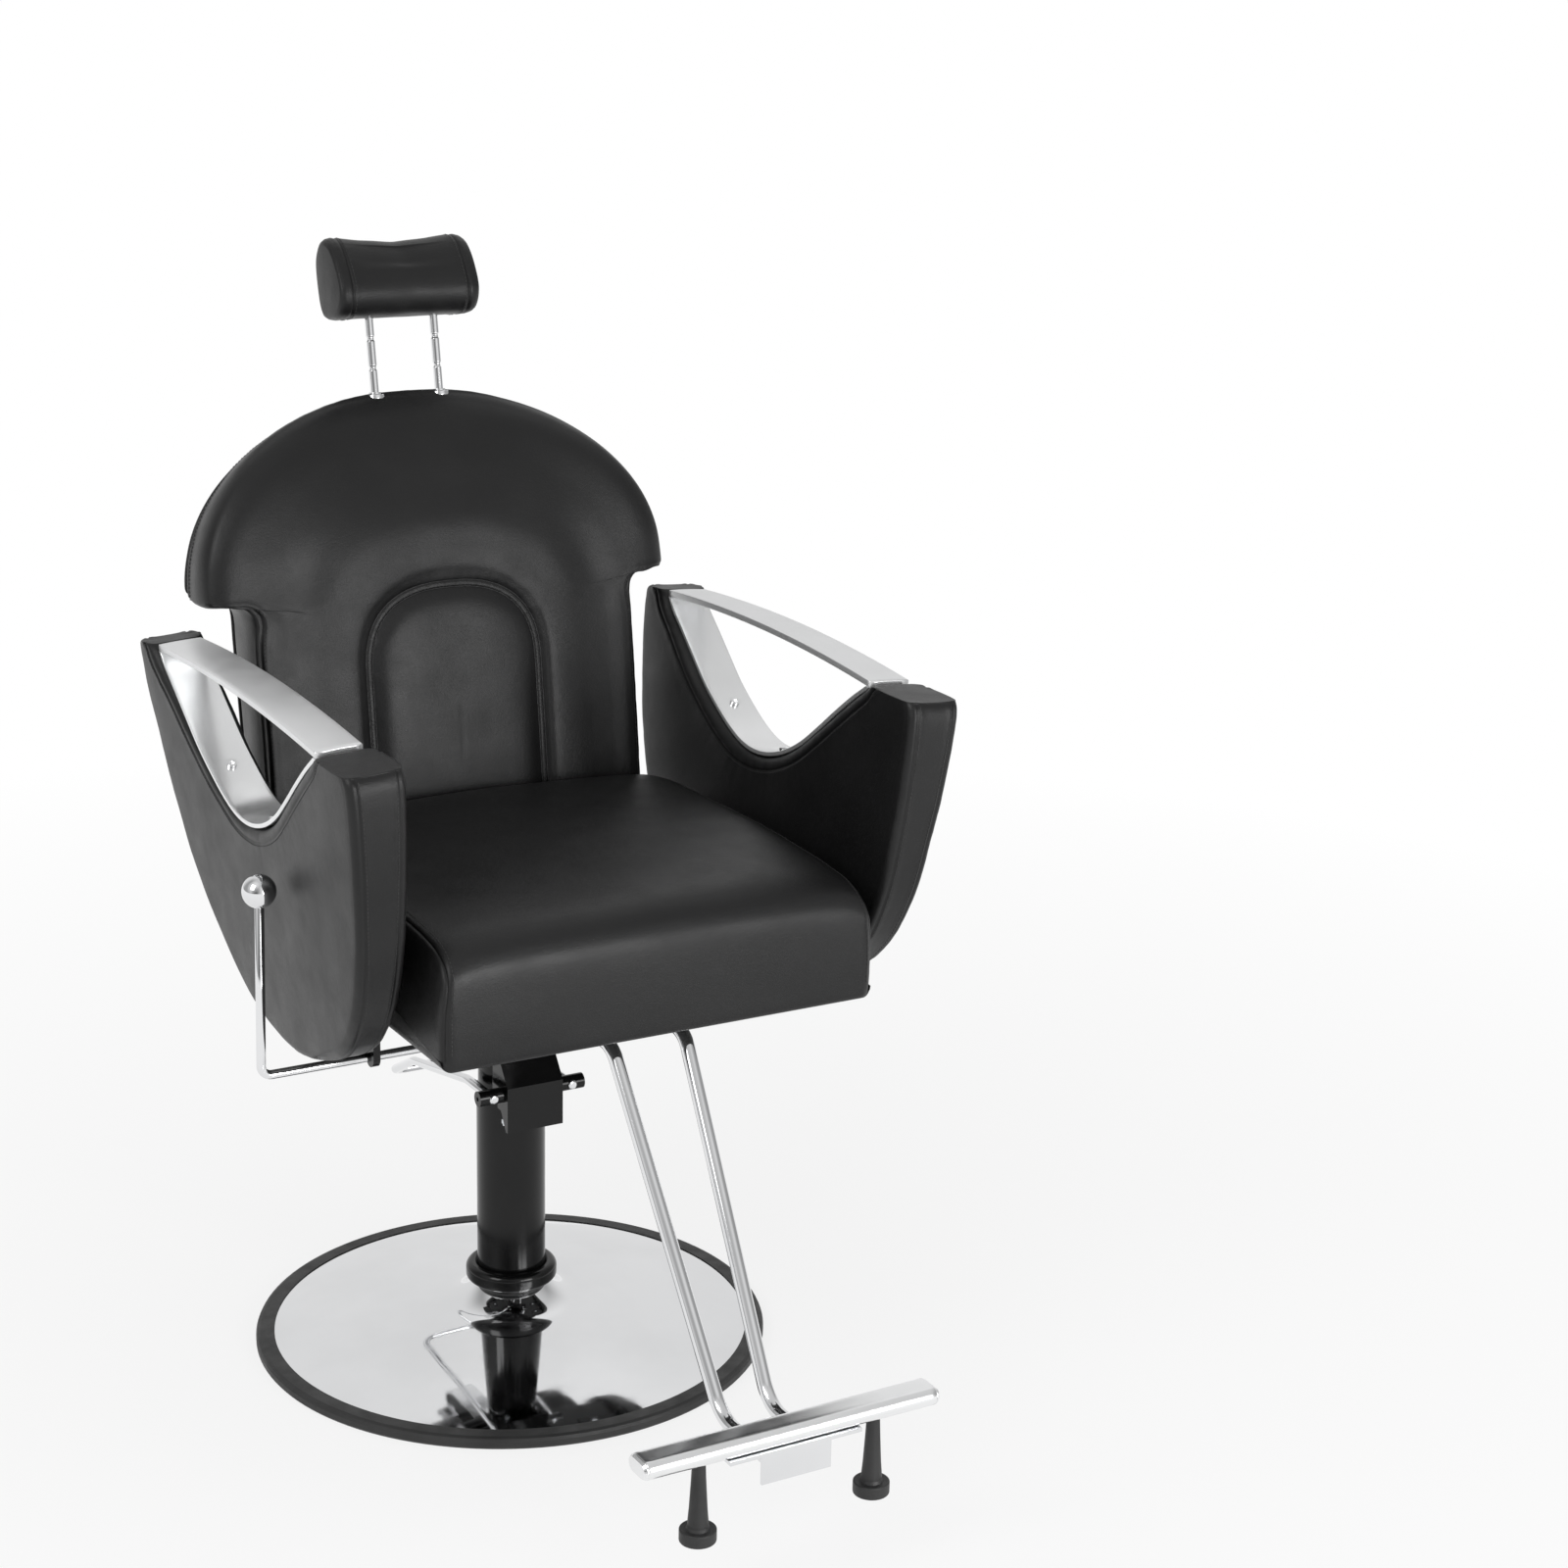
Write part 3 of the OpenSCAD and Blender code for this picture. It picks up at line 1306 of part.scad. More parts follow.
module headrest_posts() {
    r = post_d / 2;
    top = headrest_s + post_in_head;
    low = dome_s - post_in_back;
    groove = function (s) [[r, s - 3], [r - 1, s - 1.5], [r - 1, s + 1.5], [r, s + 3]];
    grooves = [for (i = [-1 : 2]) dome_s - 6 + notch_pitch * i];
    color([0.85, 0.85, 0.86])
        at_posts() rotate_extrude() polygon(concat(
            [[0, low], [r - 1, low], [r, low + 1]],
            [for (s = grooves) each groove(s)],
            [[r, top - 1], [r - 1, top], [0, top]]
        ));
}

module headrest_board() {
    r = post_d / 2;
    color([0.6, 0.47, 0.32])
        back_frame() translate([-headrest_w / 2 + 18, post_w + r, headrest_s + 14])
            cube([headrest_w - 36, 9, headrest_h - 34]);
}

// section of the headrest: distance square to the back, and height above its lower edge
headrest_profile = [
    [72, 0], [97, 5], [106, 36], [105, 74], [84, 93], [58, 84], [38, 56], [30, 26], [44, 4]
];

function headrest_ring(x, g, dip) =
    let (c = [70, 45], p = ring_spline(headrest_profile, 3), k = headrest_h / 93)
    [for (q = p) let (d = c + (q - c) * g)
        [x, d.x + (d.x < 60 ? dip * 0.5 : 0), headrest_s + k * d.y - (d.y > 60 ? dip : 0)]];

module headrest_cushion() {
    h = headrest_w / 2;
    stations = [
        [0, 0.86, 0], [1.5, 0.93, 0], [5, 0.98, 0], [11, 1, 0], [18, 1, 0.5], [22, 0.985, 0.5],
        [27, 1, 1], [45, 1, 3], [70, 1, 5], [h, 1, 6]
    ];
    left = [for (q = stations) headrest_ring(-h + q[0], q[1], q[2])];
    right = [for (i = [len(stations) - 2 : -1 : 0])
        let (q = stations[i]) headrest_ring(h - q[0], q[1], q[2])];
    color([0.09, 0.09, 0.095])
        difference() {
            back_frame() loft(concat(left, right));
            at_posts() translate([0, 0, headrest_s - 30])
                cylinder(h = 30 + post_in_head, r = post_d / 2, $fn = hidden_fn);
            headrest_board();
        }
}

// ---------------------------------------------------------------- nodes

base_disc();
base_rim();
base_plate();
base_bolts();
base_collar();
pump_tube();
pump_head();
head_hood();
ram_cylinder();
gland_seal();
plunger_barrel();
release_valve();
pedal_shaft();
foot_pedal();
pump_plunger();
plunger_spring();
ram_rod();
piston_head();
piston_seal();
seat_bracket();
bracket_bolts();
seat_board();
seat_cushion();
hinge_cheeks();
hinge_pin();
arm_brackets();
arm_pad_left();
arm_pad_right();
arm_bar_left();
arm_bar_right();
arm_strap_left();
arm_strap_right();
arm_bolts();
footrest_frame();
foot_bar();
foot_bar_caps();
foot_bracket();
foot_pads();
lever_bearings();
strut_mount();
recline_lever();
lever_ball();
lever_cam();
strut_cylinder();
strut_rod();
strut_head();
strut_clevis();
clevis_pin();
back_strap();
hinge_barrel();
back_board();
back_cushion();
back_cover();
post_guides();
guide_collars();
strap_bolts();
back_bumpers();
headrest_posts();
headrest_board();
headrest_cushion();
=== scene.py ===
import json
import math

import bmesh
import bpy
import numpy as np
from mathutils import Matrix, Vector, kdtree


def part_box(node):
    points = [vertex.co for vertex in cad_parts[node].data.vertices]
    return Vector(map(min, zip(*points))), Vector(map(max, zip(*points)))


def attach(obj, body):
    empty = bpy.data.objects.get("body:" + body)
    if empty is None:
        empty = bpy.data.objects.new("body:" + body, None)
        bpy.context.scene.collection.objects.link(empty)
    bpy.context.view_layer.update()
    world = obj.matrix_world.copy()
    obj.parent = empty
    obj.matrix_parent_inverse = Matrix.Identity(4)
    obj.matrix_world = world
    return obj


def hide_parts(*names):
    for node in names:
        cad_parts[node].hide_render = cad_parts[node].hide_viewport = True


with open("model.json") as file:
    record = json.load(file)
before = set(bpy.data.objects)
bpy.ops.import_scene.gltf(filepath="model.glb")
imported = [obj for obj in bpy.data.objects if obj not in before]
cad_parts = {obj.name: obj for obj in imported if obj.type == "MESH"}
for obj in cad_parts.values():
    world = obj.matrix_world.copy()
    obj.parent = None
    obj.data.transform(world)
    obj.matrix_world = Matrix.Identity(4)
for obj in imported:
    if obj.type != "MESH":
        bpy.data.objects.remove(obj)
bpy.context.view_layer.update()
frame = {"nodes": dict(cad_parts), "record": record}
NODES = frame["nodes"]
MM = 0.001

# ---- sizes, in mm, as in the CAD source

SEAT_HALF, SEAT_FRONT, SEAT_LOW = 253.0, 382.0, 500.5
SEAT_CORNER, SEAT_EDGE = 16.0, 11.0
PIVOT_Y, PIVOT_Z, BACK_SLOPE = 100.5, 479.0, math.radians(10)
BACK_CLEAR = 9.5

ARM_IN, ARM_T, ARM_TOP = 288.0, 64.0, 825.0
ARM_LEAN, ARM_TOE, ARM_TAPER = math.radians(4), 3.0, 0.055
ARM_EDGE, ARM_CROWN = 11.0, 1.5
TRIM_W, BAR_T, STRAP_T = 50.0, 8.0, 5.0
BAR_BACK, BAR_FRONT, BAR_RISE = 174.0, -288.5, 10.0
ARM_OUTER = [
    (216, 833), (226, 826), (228, 800), (225, 762), (215, 710), (200, 650), (176, 590),
    (136, 532), (90, 490), (28, 456), (-68, 440), (-157, 449), (-262, 490), (-315, 538),
    (-349, 603), (-369, 680), (-380, 745), (-385, 804), (-379, 822)]
ARM_INNER = [
    (185, 833), (177, 827), (162, 809), (134, 787), (104, 763), (72, 738), (36, 716),
    (4, 700), (-26, 690), (-56, 687), (-88, 691), (-122, 702), (-156, 720), (-190, 745),
    (-224, 772), (-256, 796), (-280, 812), (-291, 820), (-298, 823)]

DOME_W, WAIST_W, NOTCH_S, DOME_S, BACK_LOW = 580.0, 478.0, 395.0, 624.0, 100.0
DOME_POWER, BACK_T, BACK_FRONT = 2 / 2.09, 122.0, 14.5
COVER_T, BACK_BOARD_T = 12.0, 12.0
BACK_REAR = BACK_T - BACK_FRONT
FOAM_REAR = BACK_REAR - COVER_T - BACK_BOARD_T
LUMBAR_HALF, LUMBAR_TOP = 112.0, 404.0
FIELD_HALF, FIELD_SHOULDER, FIELD_TOP = 188.0, 400.0, 530.0
POST_GAP, POST_W = 81.0, 69.5

HEAD_W, HEAD_H, HEAD_S = 174.0, 93.0, DOME_S + 85.0
HEAD_PROFILE = [(72, 0), (97, 5), (106, 36), (105, 74), (84, 93), (58, 84), (38, 56),
                (30, 26), (44, 4)]
FOOT_Y, FOOT_W = -645.0, 38.0

SEAM_STEP, SEAM_REACH = 1.2, 26
STITCH_PITCH, STITCH_LENGTH, THREAD_R = 4.6, 3.5, 0.46
FINE = 0.25                                             # step along a seam, in grid points
WHITE = (1, 1, 1, 1)

# ---- curves and frames


def smooth(lo, hi, x):
    """0 below lo, 1 above hi, and a smooth ramp between."""
    t = np.clip((np.asarray(x, float) - lo) / (hi - lo), 0, 1)
    return t * t * (3 - 2 * t)


def unit(v):
    """Vectors of length 1."""
    return v / np.maximum(np.linalg.norm(v, axis=-1, keepdims=True), 1e-9)


def catmull(a, b, c, d, t):
    """Point at the share t of the way from b to c, on the Catmull-Rom curve through a to d."""
    return 0.5 * (2 * b + (c - a) * t + (2 * a - 5 * b + 4 * c - d) * t**2
                  + (3 * b - a - 3 * c + d) * t**3)


def spline(points, steps, closed=False):
    """Catmull-Rom curve through points, with that many steps between neighbours."""
    p = np.asarray(points, float)
    n = len(p)
    spans = n if closed else n - 1
    i = np.repeat(np.arange(spans), steps)
    t = np.tile(np.arange(steps) / steps, spans)[:, None]
    pick = (lambda k: p[k % n]) if closed else (lambda k: p[np.clip(k, 0, n - 1)])
    q = catmull(pick(i - 1), pick(i), pick(i + 1), pick(i + 2), t)
    return q if closed else np.concatenate([q, p[-1:]])


def lengths(points):
    """Distance along a line from its first point to each point."""
    return np.concatenate([[0], np.cumsum(np.linalg.norm(np.diff(points, axis=0), axis=1))])


def even(points, count, closed=False):
    """count points at equal distances along a curve."""
    p = np.asarray(points, float)
    if closed:
        p = np.concatenate([p, p[:1]])
    s = lengths(p)
    at = np.linspace(0, s[-1], count, endpoint=not closed)
    return np.stack([np.interp(at, s, p[:, k]) for k in range(p.shape[1])], 1)


def back_world(p):
    """From the back's own frame (sideways, to the rear, up along the back) to the chair's."""
    p = np.asarray(p, float)
    c, s = math.cos(BACK_SLOPE), math.sin(BACK_SLOPE)
    return np.stack([p[..., 0], PIVOT_Y + p[..., 1] * c + p[..., 2] * s,
                     PIVOT_Z - p[..., 1] * s + p[..., 2] * c], -1)


def in_back(outline, w):
    """An outline (sideways, up along the back) set at the depth w, in the back's own frame."""
    return np.stack([outline[:, 0], np.broadcast_to(w, len(outline)), outline[:, 1]], 1)


def across_line(line):
    """Normals of a line in the upright plane."""
    way = unit(np.gradient(line, axis=0))
    return np.stack([way[:, 1], -way[:, 0]], 1)


def arm_world(p, side):
    """From the frame of an upright arm to its place on the +X side (1) or the -X side (-1)."""
    p = np.asarray(p, float)
    c, s = math.cos(ARM_LEAN), math.sin(ARM_LEAN)
    z = p[..., 2] - ARM_TOP
    return np.stack([side * (ARM_IN + ARM_T / 2 + p[..., 0] * c + z * s), p[..., 1],
                     ARM_TOP - p[..., 0] * s + z * c], -1)


def noise_1d(x, seed, scale):
    """Smooth noise from -1 to 1 along a length, with features of about scale mm."""
    rng = np.random.default_rng(seed)
    table = rng.uniform(-1, 1, 512)
    u = np.asarray(x, float) / scale
    i = np.floor(u).astype(int)
    t = smooth(0, 1, u - i)
    return table[i % 512] * (1 - t) + table[(i + 1) % 512] * t


def waves(p, seed, scale):
    """Smooth noise over points in space, from -1 to 1, with features of about scale mm."""
    rng = np.random.default_rng(seed)
    total = np.zeros(p.shape[:-1])
    for _ in range(7):
        k = rng.normal(size=3)
        k *= 2 * math.pi / scale / np.linalg.norm(k) * rng.uniform(0.6, 1.5)
        total += np.sin(p @ k + rng.uniform(0, 6.28))
    return total / 7 * 1.6


# ---- meshes from rings


def outward(rings):
    """Normals of a grid of closed rings, turned to the outside."""
    around = np.roll(rings, -1, 1) - np.roll(rings, 1, 1)
    n = unit(np.cross(around, np.gradient(rings, axis=0)))
    middle = rings.reshape(-1, 3).mean(0)
    return n if ((rings - middle) * n).sum() > 0 else -n


def on(rings, u, v):
    """Points of the grid at ring numbers u and places round them v, both fractional."""
    m, n = rings.shape[:2]
    u, v = np.broadcast_arrays(np.asarray(u, float), np.asarray(v, float))
    i = np.clip(np.floor(u).astype(int), 0, m - 2)
    j = np.floor(v).astype(int)
    fu, fv = (u - i)[..., None], (v - j)[..., None]
    near = rings[i, j % n] * (1 - fv) + rings[i, (j + 1) % n] * fv
    far = rings[i + 1, j % n] * (1 - fv) + rings[i + 1, (j + 1) % n] * fv
    return near * (1 - fu) + far * fu


def mirrored(half):
    """Rings of one half and, in the opposite order, those of its mirror image."""
    half = np.array(half)
    return np.concatenate([half, half[::-1] * [-1, 1, 1]])


def seam_line(rings, u, v):
    """Close points along a line of the grid."""
    line = on(rings, u, v)
    return even(line, max(4, int(lengths(line)[-1] / SEAM_STEP)))


def new_object(name, points, faces, material):
    """Smooth mesh object from points in mm."""
    mesh = bpy.data.meshes.new(name)
    mesh.from_pydata((np.asarray(points) * MM).tolist(), [], faces)
    mesh.validate()
    mesh.shade_smooth()
    mesh.materials.append(material)
    obj = bpy.data.objects.new(name, mesh)
    bpy.context.scene.collection.objects.link(obj)
    return obj


def ring_faces(m, n, start=0, capped=True):
    """Faces between m rings of n points, capped by two more points or closed on themselves."""
    faces = []
    for j in range(m - capped):
        a, b = start + j * n, start + (j + 1) % m * n
        faces += [(a + i, a + (i + 1) % n, b + (i + 1) % n, b + i) for i in range(n)]
    if capped:
        last, tip = start + (m - 1) * n, start + m * n
        faces += [(start + (i + 1) % n, start + i, tip) for i in range(n)]
        faces += [(last + i, last + (i + 1) % n, tip + 1) for i in range(n)]
    return faces


def closed_shell(name, rings, material, seam_shade=None):
    """Closed mesh through rings of equal length, with an optional value per point for the
    material: the painted shade in its seam creases.
    """
    m, n = rings.shape[:2]
    points = np.concatenate([rings.reshape(-1, 3), [rings[0].mean(0)], [rings[-1].mean(0)]])
    obj = new_object(name, points, ring_faces(m, n), material)
    if seam_shade is not None:
        # painted shade: the darkening of the seam creases, stored as the 'seam' attribute
        values = np.concatenate([seam_shade.ravel(), [0, 0]]).astype(np.float32)
        obj.data.attributes.new("seam", "FLOAT", "POINT").data.foreach_set("value", values)
    face_out(obj)
    return obj


def face_out(obj):
    """Turns the faces of a closed mesh outward."""
    work = bmesh.new()
    work.from_mesh(obj.data)
    if work.calc_volume(signed=True) < 0:
        bmesh.ops.reverse_faces(work, faces=work.faces)
        work.to_mesh(obj.data)
    work.free()


# ---- seams


def sew(rings, seams):
    """Draws the cover in along seams, and returns the painted shade of their creases. Each seam is
    (points, depth, width, swell, seed).
    """
    flat = rings.reshape(-1, 3)
    shift, seam_shade = np.zeros(len(flat)), np.zeros(len(flat))
    for path, depth, width, swell, seed in seams:
        tree = kdtree.KDTree(len(path))
        for i, p in enumerate(path):
            tree.insert(p, i)
        tree.balance()
        lo, hi = path.min(0) - SEAM_REACH, path.max(0) + SEAM_REACH
        close = np.nonzero(((flat > lo) & (flat < hi)).all(1))[0]
        nearest = np.array([tree.find(flat[k])[1] for k in close], int)
        off = flat[close] - path[nearest]
        run = (off * unit(np.gradient(path, axis=0))[nearest]).sum(1)
        beyond = np.maximum(0, np.abs(run) - 2)
        d = np.sqrt(np.maximum(0, (off**2).sum(1) - run**2) + beyond**2)
        along = lengths(path)[nearest] + run
        pucker = 0.5 * noise_1d(along, seed, 11) + 0.3 * noise_1d(along, seed + 1, 5)
        crease = np.exp(-((d / width) ** 2))
        shift[close] += (-depth * crease * (1 + 0.25 * pucker)
                         + swell * np.exp(-(((d - 4.5) / 3.2) ** 2))
                         + 0.42 * pucker * np.exp(-(((d - 5) / 7) ** 2)))
        # painted shade: the seam's crease is kept per point, to darken the colour there
        seam_shade[close] = np.maximum(seam_shade[close], crease)
    shift = shift.reshape(rings.shape[:2])
    return rings + outward(rings) * shift[..., None], seam_shade.reshape(rings.shape[:2])


def stitch_rows(name, rings, rows, body):
    """Thread stitches lying on a surface. Each row is (ring numbers, places round them)."""
    normal = outward(rings)
    points, faces = [], []
    sides, stations = 6, [(-0.5, 0.25), (-0.36, 0.85), (0, 1.0), (0.36, 0.85), (0.5, 0.25)]
    ring = np.array([(math.cos(a), math.sin(a)) for a in np.arange(sides) * 2 * math.pi / sides])
    for u, v in rows:
        path, up = on(rings, u, v), on(normal, u, v)
        s = lengths(path)
        at = np.arange(STITCH_PITCH, s[-1] - STITCH_PITCH / 2, STITCH_PITCH)
        place, ahead, rise = (np.stack([np.interp(x, s, line[:, k]) for k in range(3)], 1)
                              for x, line in ((at, path), (at + 1, path), (at, up)))
        for p, t, w in zip(place, unit(ahead - place), unit(rise)):
            b = np.cross(t, w)
            start = len(points)
            for along, r in stations:
                centre = p + t * along * STITCH_LENGTH + w * (0.12 + 0.1 * r)
                points.extend(centre + THREAD_R * r * (ring[:, :1] * b + 0.8 * ring[:, 1:] * w))
            for a in range(start, start + (len(stations) - 1) * sides, sides):
                faces += [(a + i, a + (i + 1) % sides, a + sides + (i + 1) % sides, a + sides + i)
                          for i in range(sides)]
            faces.append(tuple(start + i for i in reversed(range(sides))))
            faces.append(tuple(len(points) - sides + i for i in range(sides)))
    put(new_object(name, points, faces, MAT["thread"]), body)


def put(obj, body, replaced=()):
    """Gives a piece its body and the CAD pieces that it stands for."""
    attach(obj, body)
    if replaced:
        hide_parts(*replaced)


# ---- materials


def wired(tree, node, inputs):
    """Links the inputs that are given as sockets, leaves those given as None, sets the rest."""
    for key, value in inputs.items():
        if isinstance(value, bpy.types.NodeSocket):
            tree.links.new(value, node.inputs[key])
        elif value is not None:
            node.inputs[key].default_value = value
    return node


def add_node(tree, kind, inputs=None):
    return wired(tree, tree.nodes.new(kind), inputs or {})


def maths(tree, operation, a, b):
    node = tree.nodes.new("ShaderNodeMath")
    node.operation = operation
    return wired(tree, node, {0: a, 1: b}).outputs[0]


def nodes_of(name):
    """New material with its tree, its shader and the piece's own coordinates."""
    material = bpy.data.materials.new(name)
    material.use_nodes = True
    tree = material.node_tree
    where = add_node(tree, "ShaderNodeTexCoord").outputs["Object"]
    return material, tree, tree.nodes["Principled BSDF"], where


def noise(tree, vector, scale, detail=3.0, rough=0.5):
    inputs = {"Vector": vector, "Scale": scale, "Detail": detail, "Roughness": rough}
    return add_node(tree, "ShaderNodeTexNoise", inputs).outputs["Fac"]


def cells(tree, vector, scale):
    """Distance to the nearest border between cells."""
    node = add_node(tree, "ShaderNodeTexVoronoi", {"Vector": vector, "Scale": scale})
    node.feature = "DISTANCE_TO_EDGE"
    return node.outputs["Distance"]


def stretched(tree, vector, scale):
    node = add_node(tree, "ShaderNodeMapping", {"Vector": vector, "Scale": scale})
    return node.outputs["Vector"]


def remap(tree, value, lo, hi, out_lo, out_hi, ramp="LINEAR"):
    node = add_node(tree, "ShaderNodeMapRange", {
        "Value": value, "From Min": lo, "From Max": hi, "To Min": out_lo, "To Max": out_hi})
    node.interpolation_type = ramp
    return node.outputs["Result"]


def two_tones(tree, value, dark, light, lo=0.35, hi=0.65):
    ramp = add_node(tree, "ShaderNodeValToRGB", {"Fac": value})
    for stop, position, colour in zip(ramp.color_ramp.elements, (lo, hi), (dark, light)):
        stop.position, stop.color = position, (*colour, 1)
    return ramp.outputs["Color"]


def bump(tree, height, depth, strength=1.0, before=None):
    inputs = {"Height": height, "Distance": depth, "Strength": strength, "Normal": before}
    return add_node(tree, "ShaderNodeBump", inputs).outputs["Normal"]


def mixed(tree, factor, a, b):
    """Colour from a to b. A colour is a socket or a tuple of three."""
    a, b = ((*c, 1) if isinstance(c, tuple) else c for c in (a, b))
    node = tree.nodes.new("ShaderNodeMix")
    node.data_type = "RGBA"
    return wired(tree, node, {"Factor": factor, 6: a, 7: b}).outputs[2]


def leather(name, dark, light, pore=750.0, depth=0.00006):
    """Leatherette: fine cells over creases over soft folds, with painted shade darkening its seam
    creases.
    """
    material, tree, shader, where = nodes_of(name)
    worn = two_tones(tree, noise(tree, where, 6.0, 4), dark, light)
    # painted shade: the 'seam' attribute holds the darkening of the seam creases
    seam = add_node(tree, "ShaderNodeAttribute")
    seam.attribute_name = "seam"
    folds = bump(tree, noise(tree, where, 60.0, 3), 0.0006, 0.3)
    creases = bump(tree, noise(tree, stretched(tree, where, (1, 1, 1.6)), 330.0, 4, 0.6),
                   0.0003, 0.7, folds)
    grain = remap(tree, cells(tree, where, pore), 0.0, 0.25, 0.0, 1.0)
    wired(tree, shader, {
        # painted shade: the colour turns darker in the seam creases
        "Base Color": mixed(tree, seam.outputs["Fac"], worn, tuple(0.35 * c for c in dark)),
        "Roughness": remap(tree, noise(tree, where, 22.0, 5, 0.6), 0.3, 0.7, 0.36, 0.45),
        "Specular IOR Level": 0.33, "Normal": bump(tree, grain, depth, 0.7, creases)})
    return material


def metal(name, tint, rough_lo, rough_hi, wave=0.0, brush=None, scale=40.0, metallic=1.0):
    """Bright metal, with a slow wave in its surface or fine brush lines."""
    material, tree, shader, where = nodes_of(name)
    normal = bump(tree, noise(tree, where, 7.0, 1), wave, 0.5) if wave else None
    if brush:
        lines = noise(tree, stretched(tree, where, brush), 60.0, 3, 0.6)
        normal = bump(tree, lines, 0.00006, 0.5, normal)
    colour = two_tones(tree, noise(tree, where, 9.0, 3), tuple(0.95 * c for c in tint), tint)
    rough = remap(tree, noise(tree, where, scale, 4, 0.6), 0.35, 0.7, rough_lo, rough_hi)
    wired(tree, shader, {"Base Color": colour, "Roughness": rough, "Metallic": metallic,
                         "Normal": normal})
    return material


def coating(name, dark, light, rough_lo, rough_hi, peel, depth, gloss=0.5):
    """Paint, rubber, plastic or thread, with a fine relief of its own."""
    material, tree, shader, where = nodes_of(name)
    wired(tree, shader, {
        "Base Color": two_tones(tree, noise(tree, where, 14.0, 4), dark, light),
        "Roughness": remap(tree, noise(tree, where, 45.0, 4, 0.6), 0.3, 0.7, rough_lo, rough_hi),
        "Specular IOR Level": gloss,
        "Normal": bump(tree, noise(tree, where, peel, 2), depth, 0.5)})
    return material


def wood(name):
    """Black stained plywood, with a woven dust cloth on its downward faces."""
    material, tree, shader, where = nodes_of(name)
    grain = noise(tree, stretched(tree, where, (3, 60, 60)), 4.0, 6, 0.6)
    bands = add_node(tree, "ShaderNodeTexWave",
                     {"Vector": where, "Scale": 95.0, "Distortion": 1.2})
    bands.bands_direction = "Z"
    plies = bands.outputs["Fac"]
    base = two_tones(tree, grain, (0.006, 0.006, 0.006), (0.011, 0.0105, 0.010))
    layers = two_tones(tree, plies, (0.005, 0.005, 0.005), (0.010, 0.010, 0.010))
    stained = mixed(tree, remap(tree, plies, 0, 1, 0.1, 0.35), base, layers)
    normal = add_node(tree, "ShaderNodeNewGeometry").outputs["Normal"]
    facing = add_node(tree, "ShaderNodeSeparateXYZ", {0: normal})
    under = remap(tree, facing.outputs["Z"], -0.7, -0.9, 0, 1)
    weave = two_tones(tree, cells(tree, where, 700.0), (0.006, 0.006, 0.006), (0.02, 0.02, 0.02),
                      0.02, 0.25)
    wired(tree, shader, {"Base Color": mixed(tree, under, stained, weave), "Roughness": 0.62,
                         "Normal": bump(tree, grain, 0.0003, 0.5)})
    return material


MAT = {
    "black_leatherette": leather("leatherette", (0.006, 0.006, 0.0062), (0.009, 0.009, 0.0092)),
    "cover_leatherette": leather("rear_leatherette", (0.007, 0.007, 0.0072),
                                 (0.010, 0.010, 0.0102), 600.0, 0.00008),
    "thread": coating("thread", (0.012, 0.012, 0.012), (0.03, 0.03, 0.03), 0.5, 0.65,
                      2600.0, 0.0002),
    "mirror_chrome": metal("mirror_chrome", (0.80, 0.805, 0.815), 0.03, 0.09, wave=0.0006),
    "bright_bar": metal("bright_bar", (0.90, 0.905, 0.91), 0.2, 0.27),
    "arm_bar": metal("arm_bar_chrome", (0.80, 0.805, 0.81), 0.32, 0.38, metallic=0.7),
    "arm_strap": metal("arm_strap_chrome", (0.86, 0.865, 0.87), 0.18, 0.24, metallic=0.75),
    "black_paint": coating("black_paint", (0.003, 0.003, 0.0031), (0.005, 0.005, 0.0051),
                           0.10, 0.18, 420.0, 0.00002, gloss=0.3),
    "black_rubber": coating("black_rubber", (0.012, 0.012, 0.012), (0.022, 0.022, 0.022),
                            0.45, 0.62, 900.0, 0.00012),
    "plywood": wood("plywood"),
    "plain_steel": metal("plain_steel", (0.50, 0.50, 0.51), 0.28, 0.42, brush=(1, 1, 30)),
    "zinc_screws": metal("zinc_screws", (0.62, 0.64, 0.66), 0.22, 0.36, scale=160.0),
    "chrome_screws": metal("chrome_screws", (0.78, 0.785, 0.79), 0.06, 0.14, scale=160.0),
    "spring_steel": metal("spring_steel", (0.42, 0.42, 0.43), 0.25, 0.38, scale=200.0),
    "seal_rubber": coating("seal_rubber", (0.008, 0.008, 0.008), (0.014, 0.014, 0.014),
                           0.4, 0.55, 1200.0, 0.00008),
    "black_plastic": coating("black_plastic", (0.010, 0.010, 0.010), (0.018, 0.018, 0.018),
                             0.32, 0.46, 1500.0, 0.00008),
}

SLOT_OF = {n["node"]: n["material_slot"] for n in frame["record"]["subparts"]}
for name, node in NODES.items():
    node.data.materials.clear()
    node.data.materials.append(MAT[SLOT_OF[name]])

# ---- seat cushion


def seat_back_y(z):
    return PIVOT_Y + (z - PIVOT_Z) * math.tan(BACK_SLOPE) - BACK_CLEAR


def seat_profile(count):
    """Side outline of the seat's middle, from the bottom of the front up and round."""
    front = [(4, SEAT_LOW), (0.8, 506), (0, 530), (0, 562), (1, 590), (3.2, 606), (8, 617),
             (15, 626), (26, 633.5), (42, 639.5), (68, 643.8), (108, 646.8), (172, 649),
             (250, 650)]
    rear = [(75, 647), (40, 644), (22, 640), (11, 633), (5, 623), (2, 612), (0.5, 597),
            (0, 562), (0.5, 506), (3, SEAT_LOW)]
    points = [(-SEAT_FRONT + f, z) for f, z in front] + [(-60, 650), (-9, 649)]
    points += [(seat_back_y(z) - e, z) for e, z in rear]
    top = spline(points, 12)
    bottom = np.linspace(top[-1], top[0], 60)[1:-1]
    return even(np.concatenate([top, bottom]), count, closed=True)


def round_in(d, r):
    """How far an edge rounded by r stands back at the distance d from it."""
    return r - np.sqrt(np.maximum(0, r**2 - np.maximum(0, r - d) ** 2))


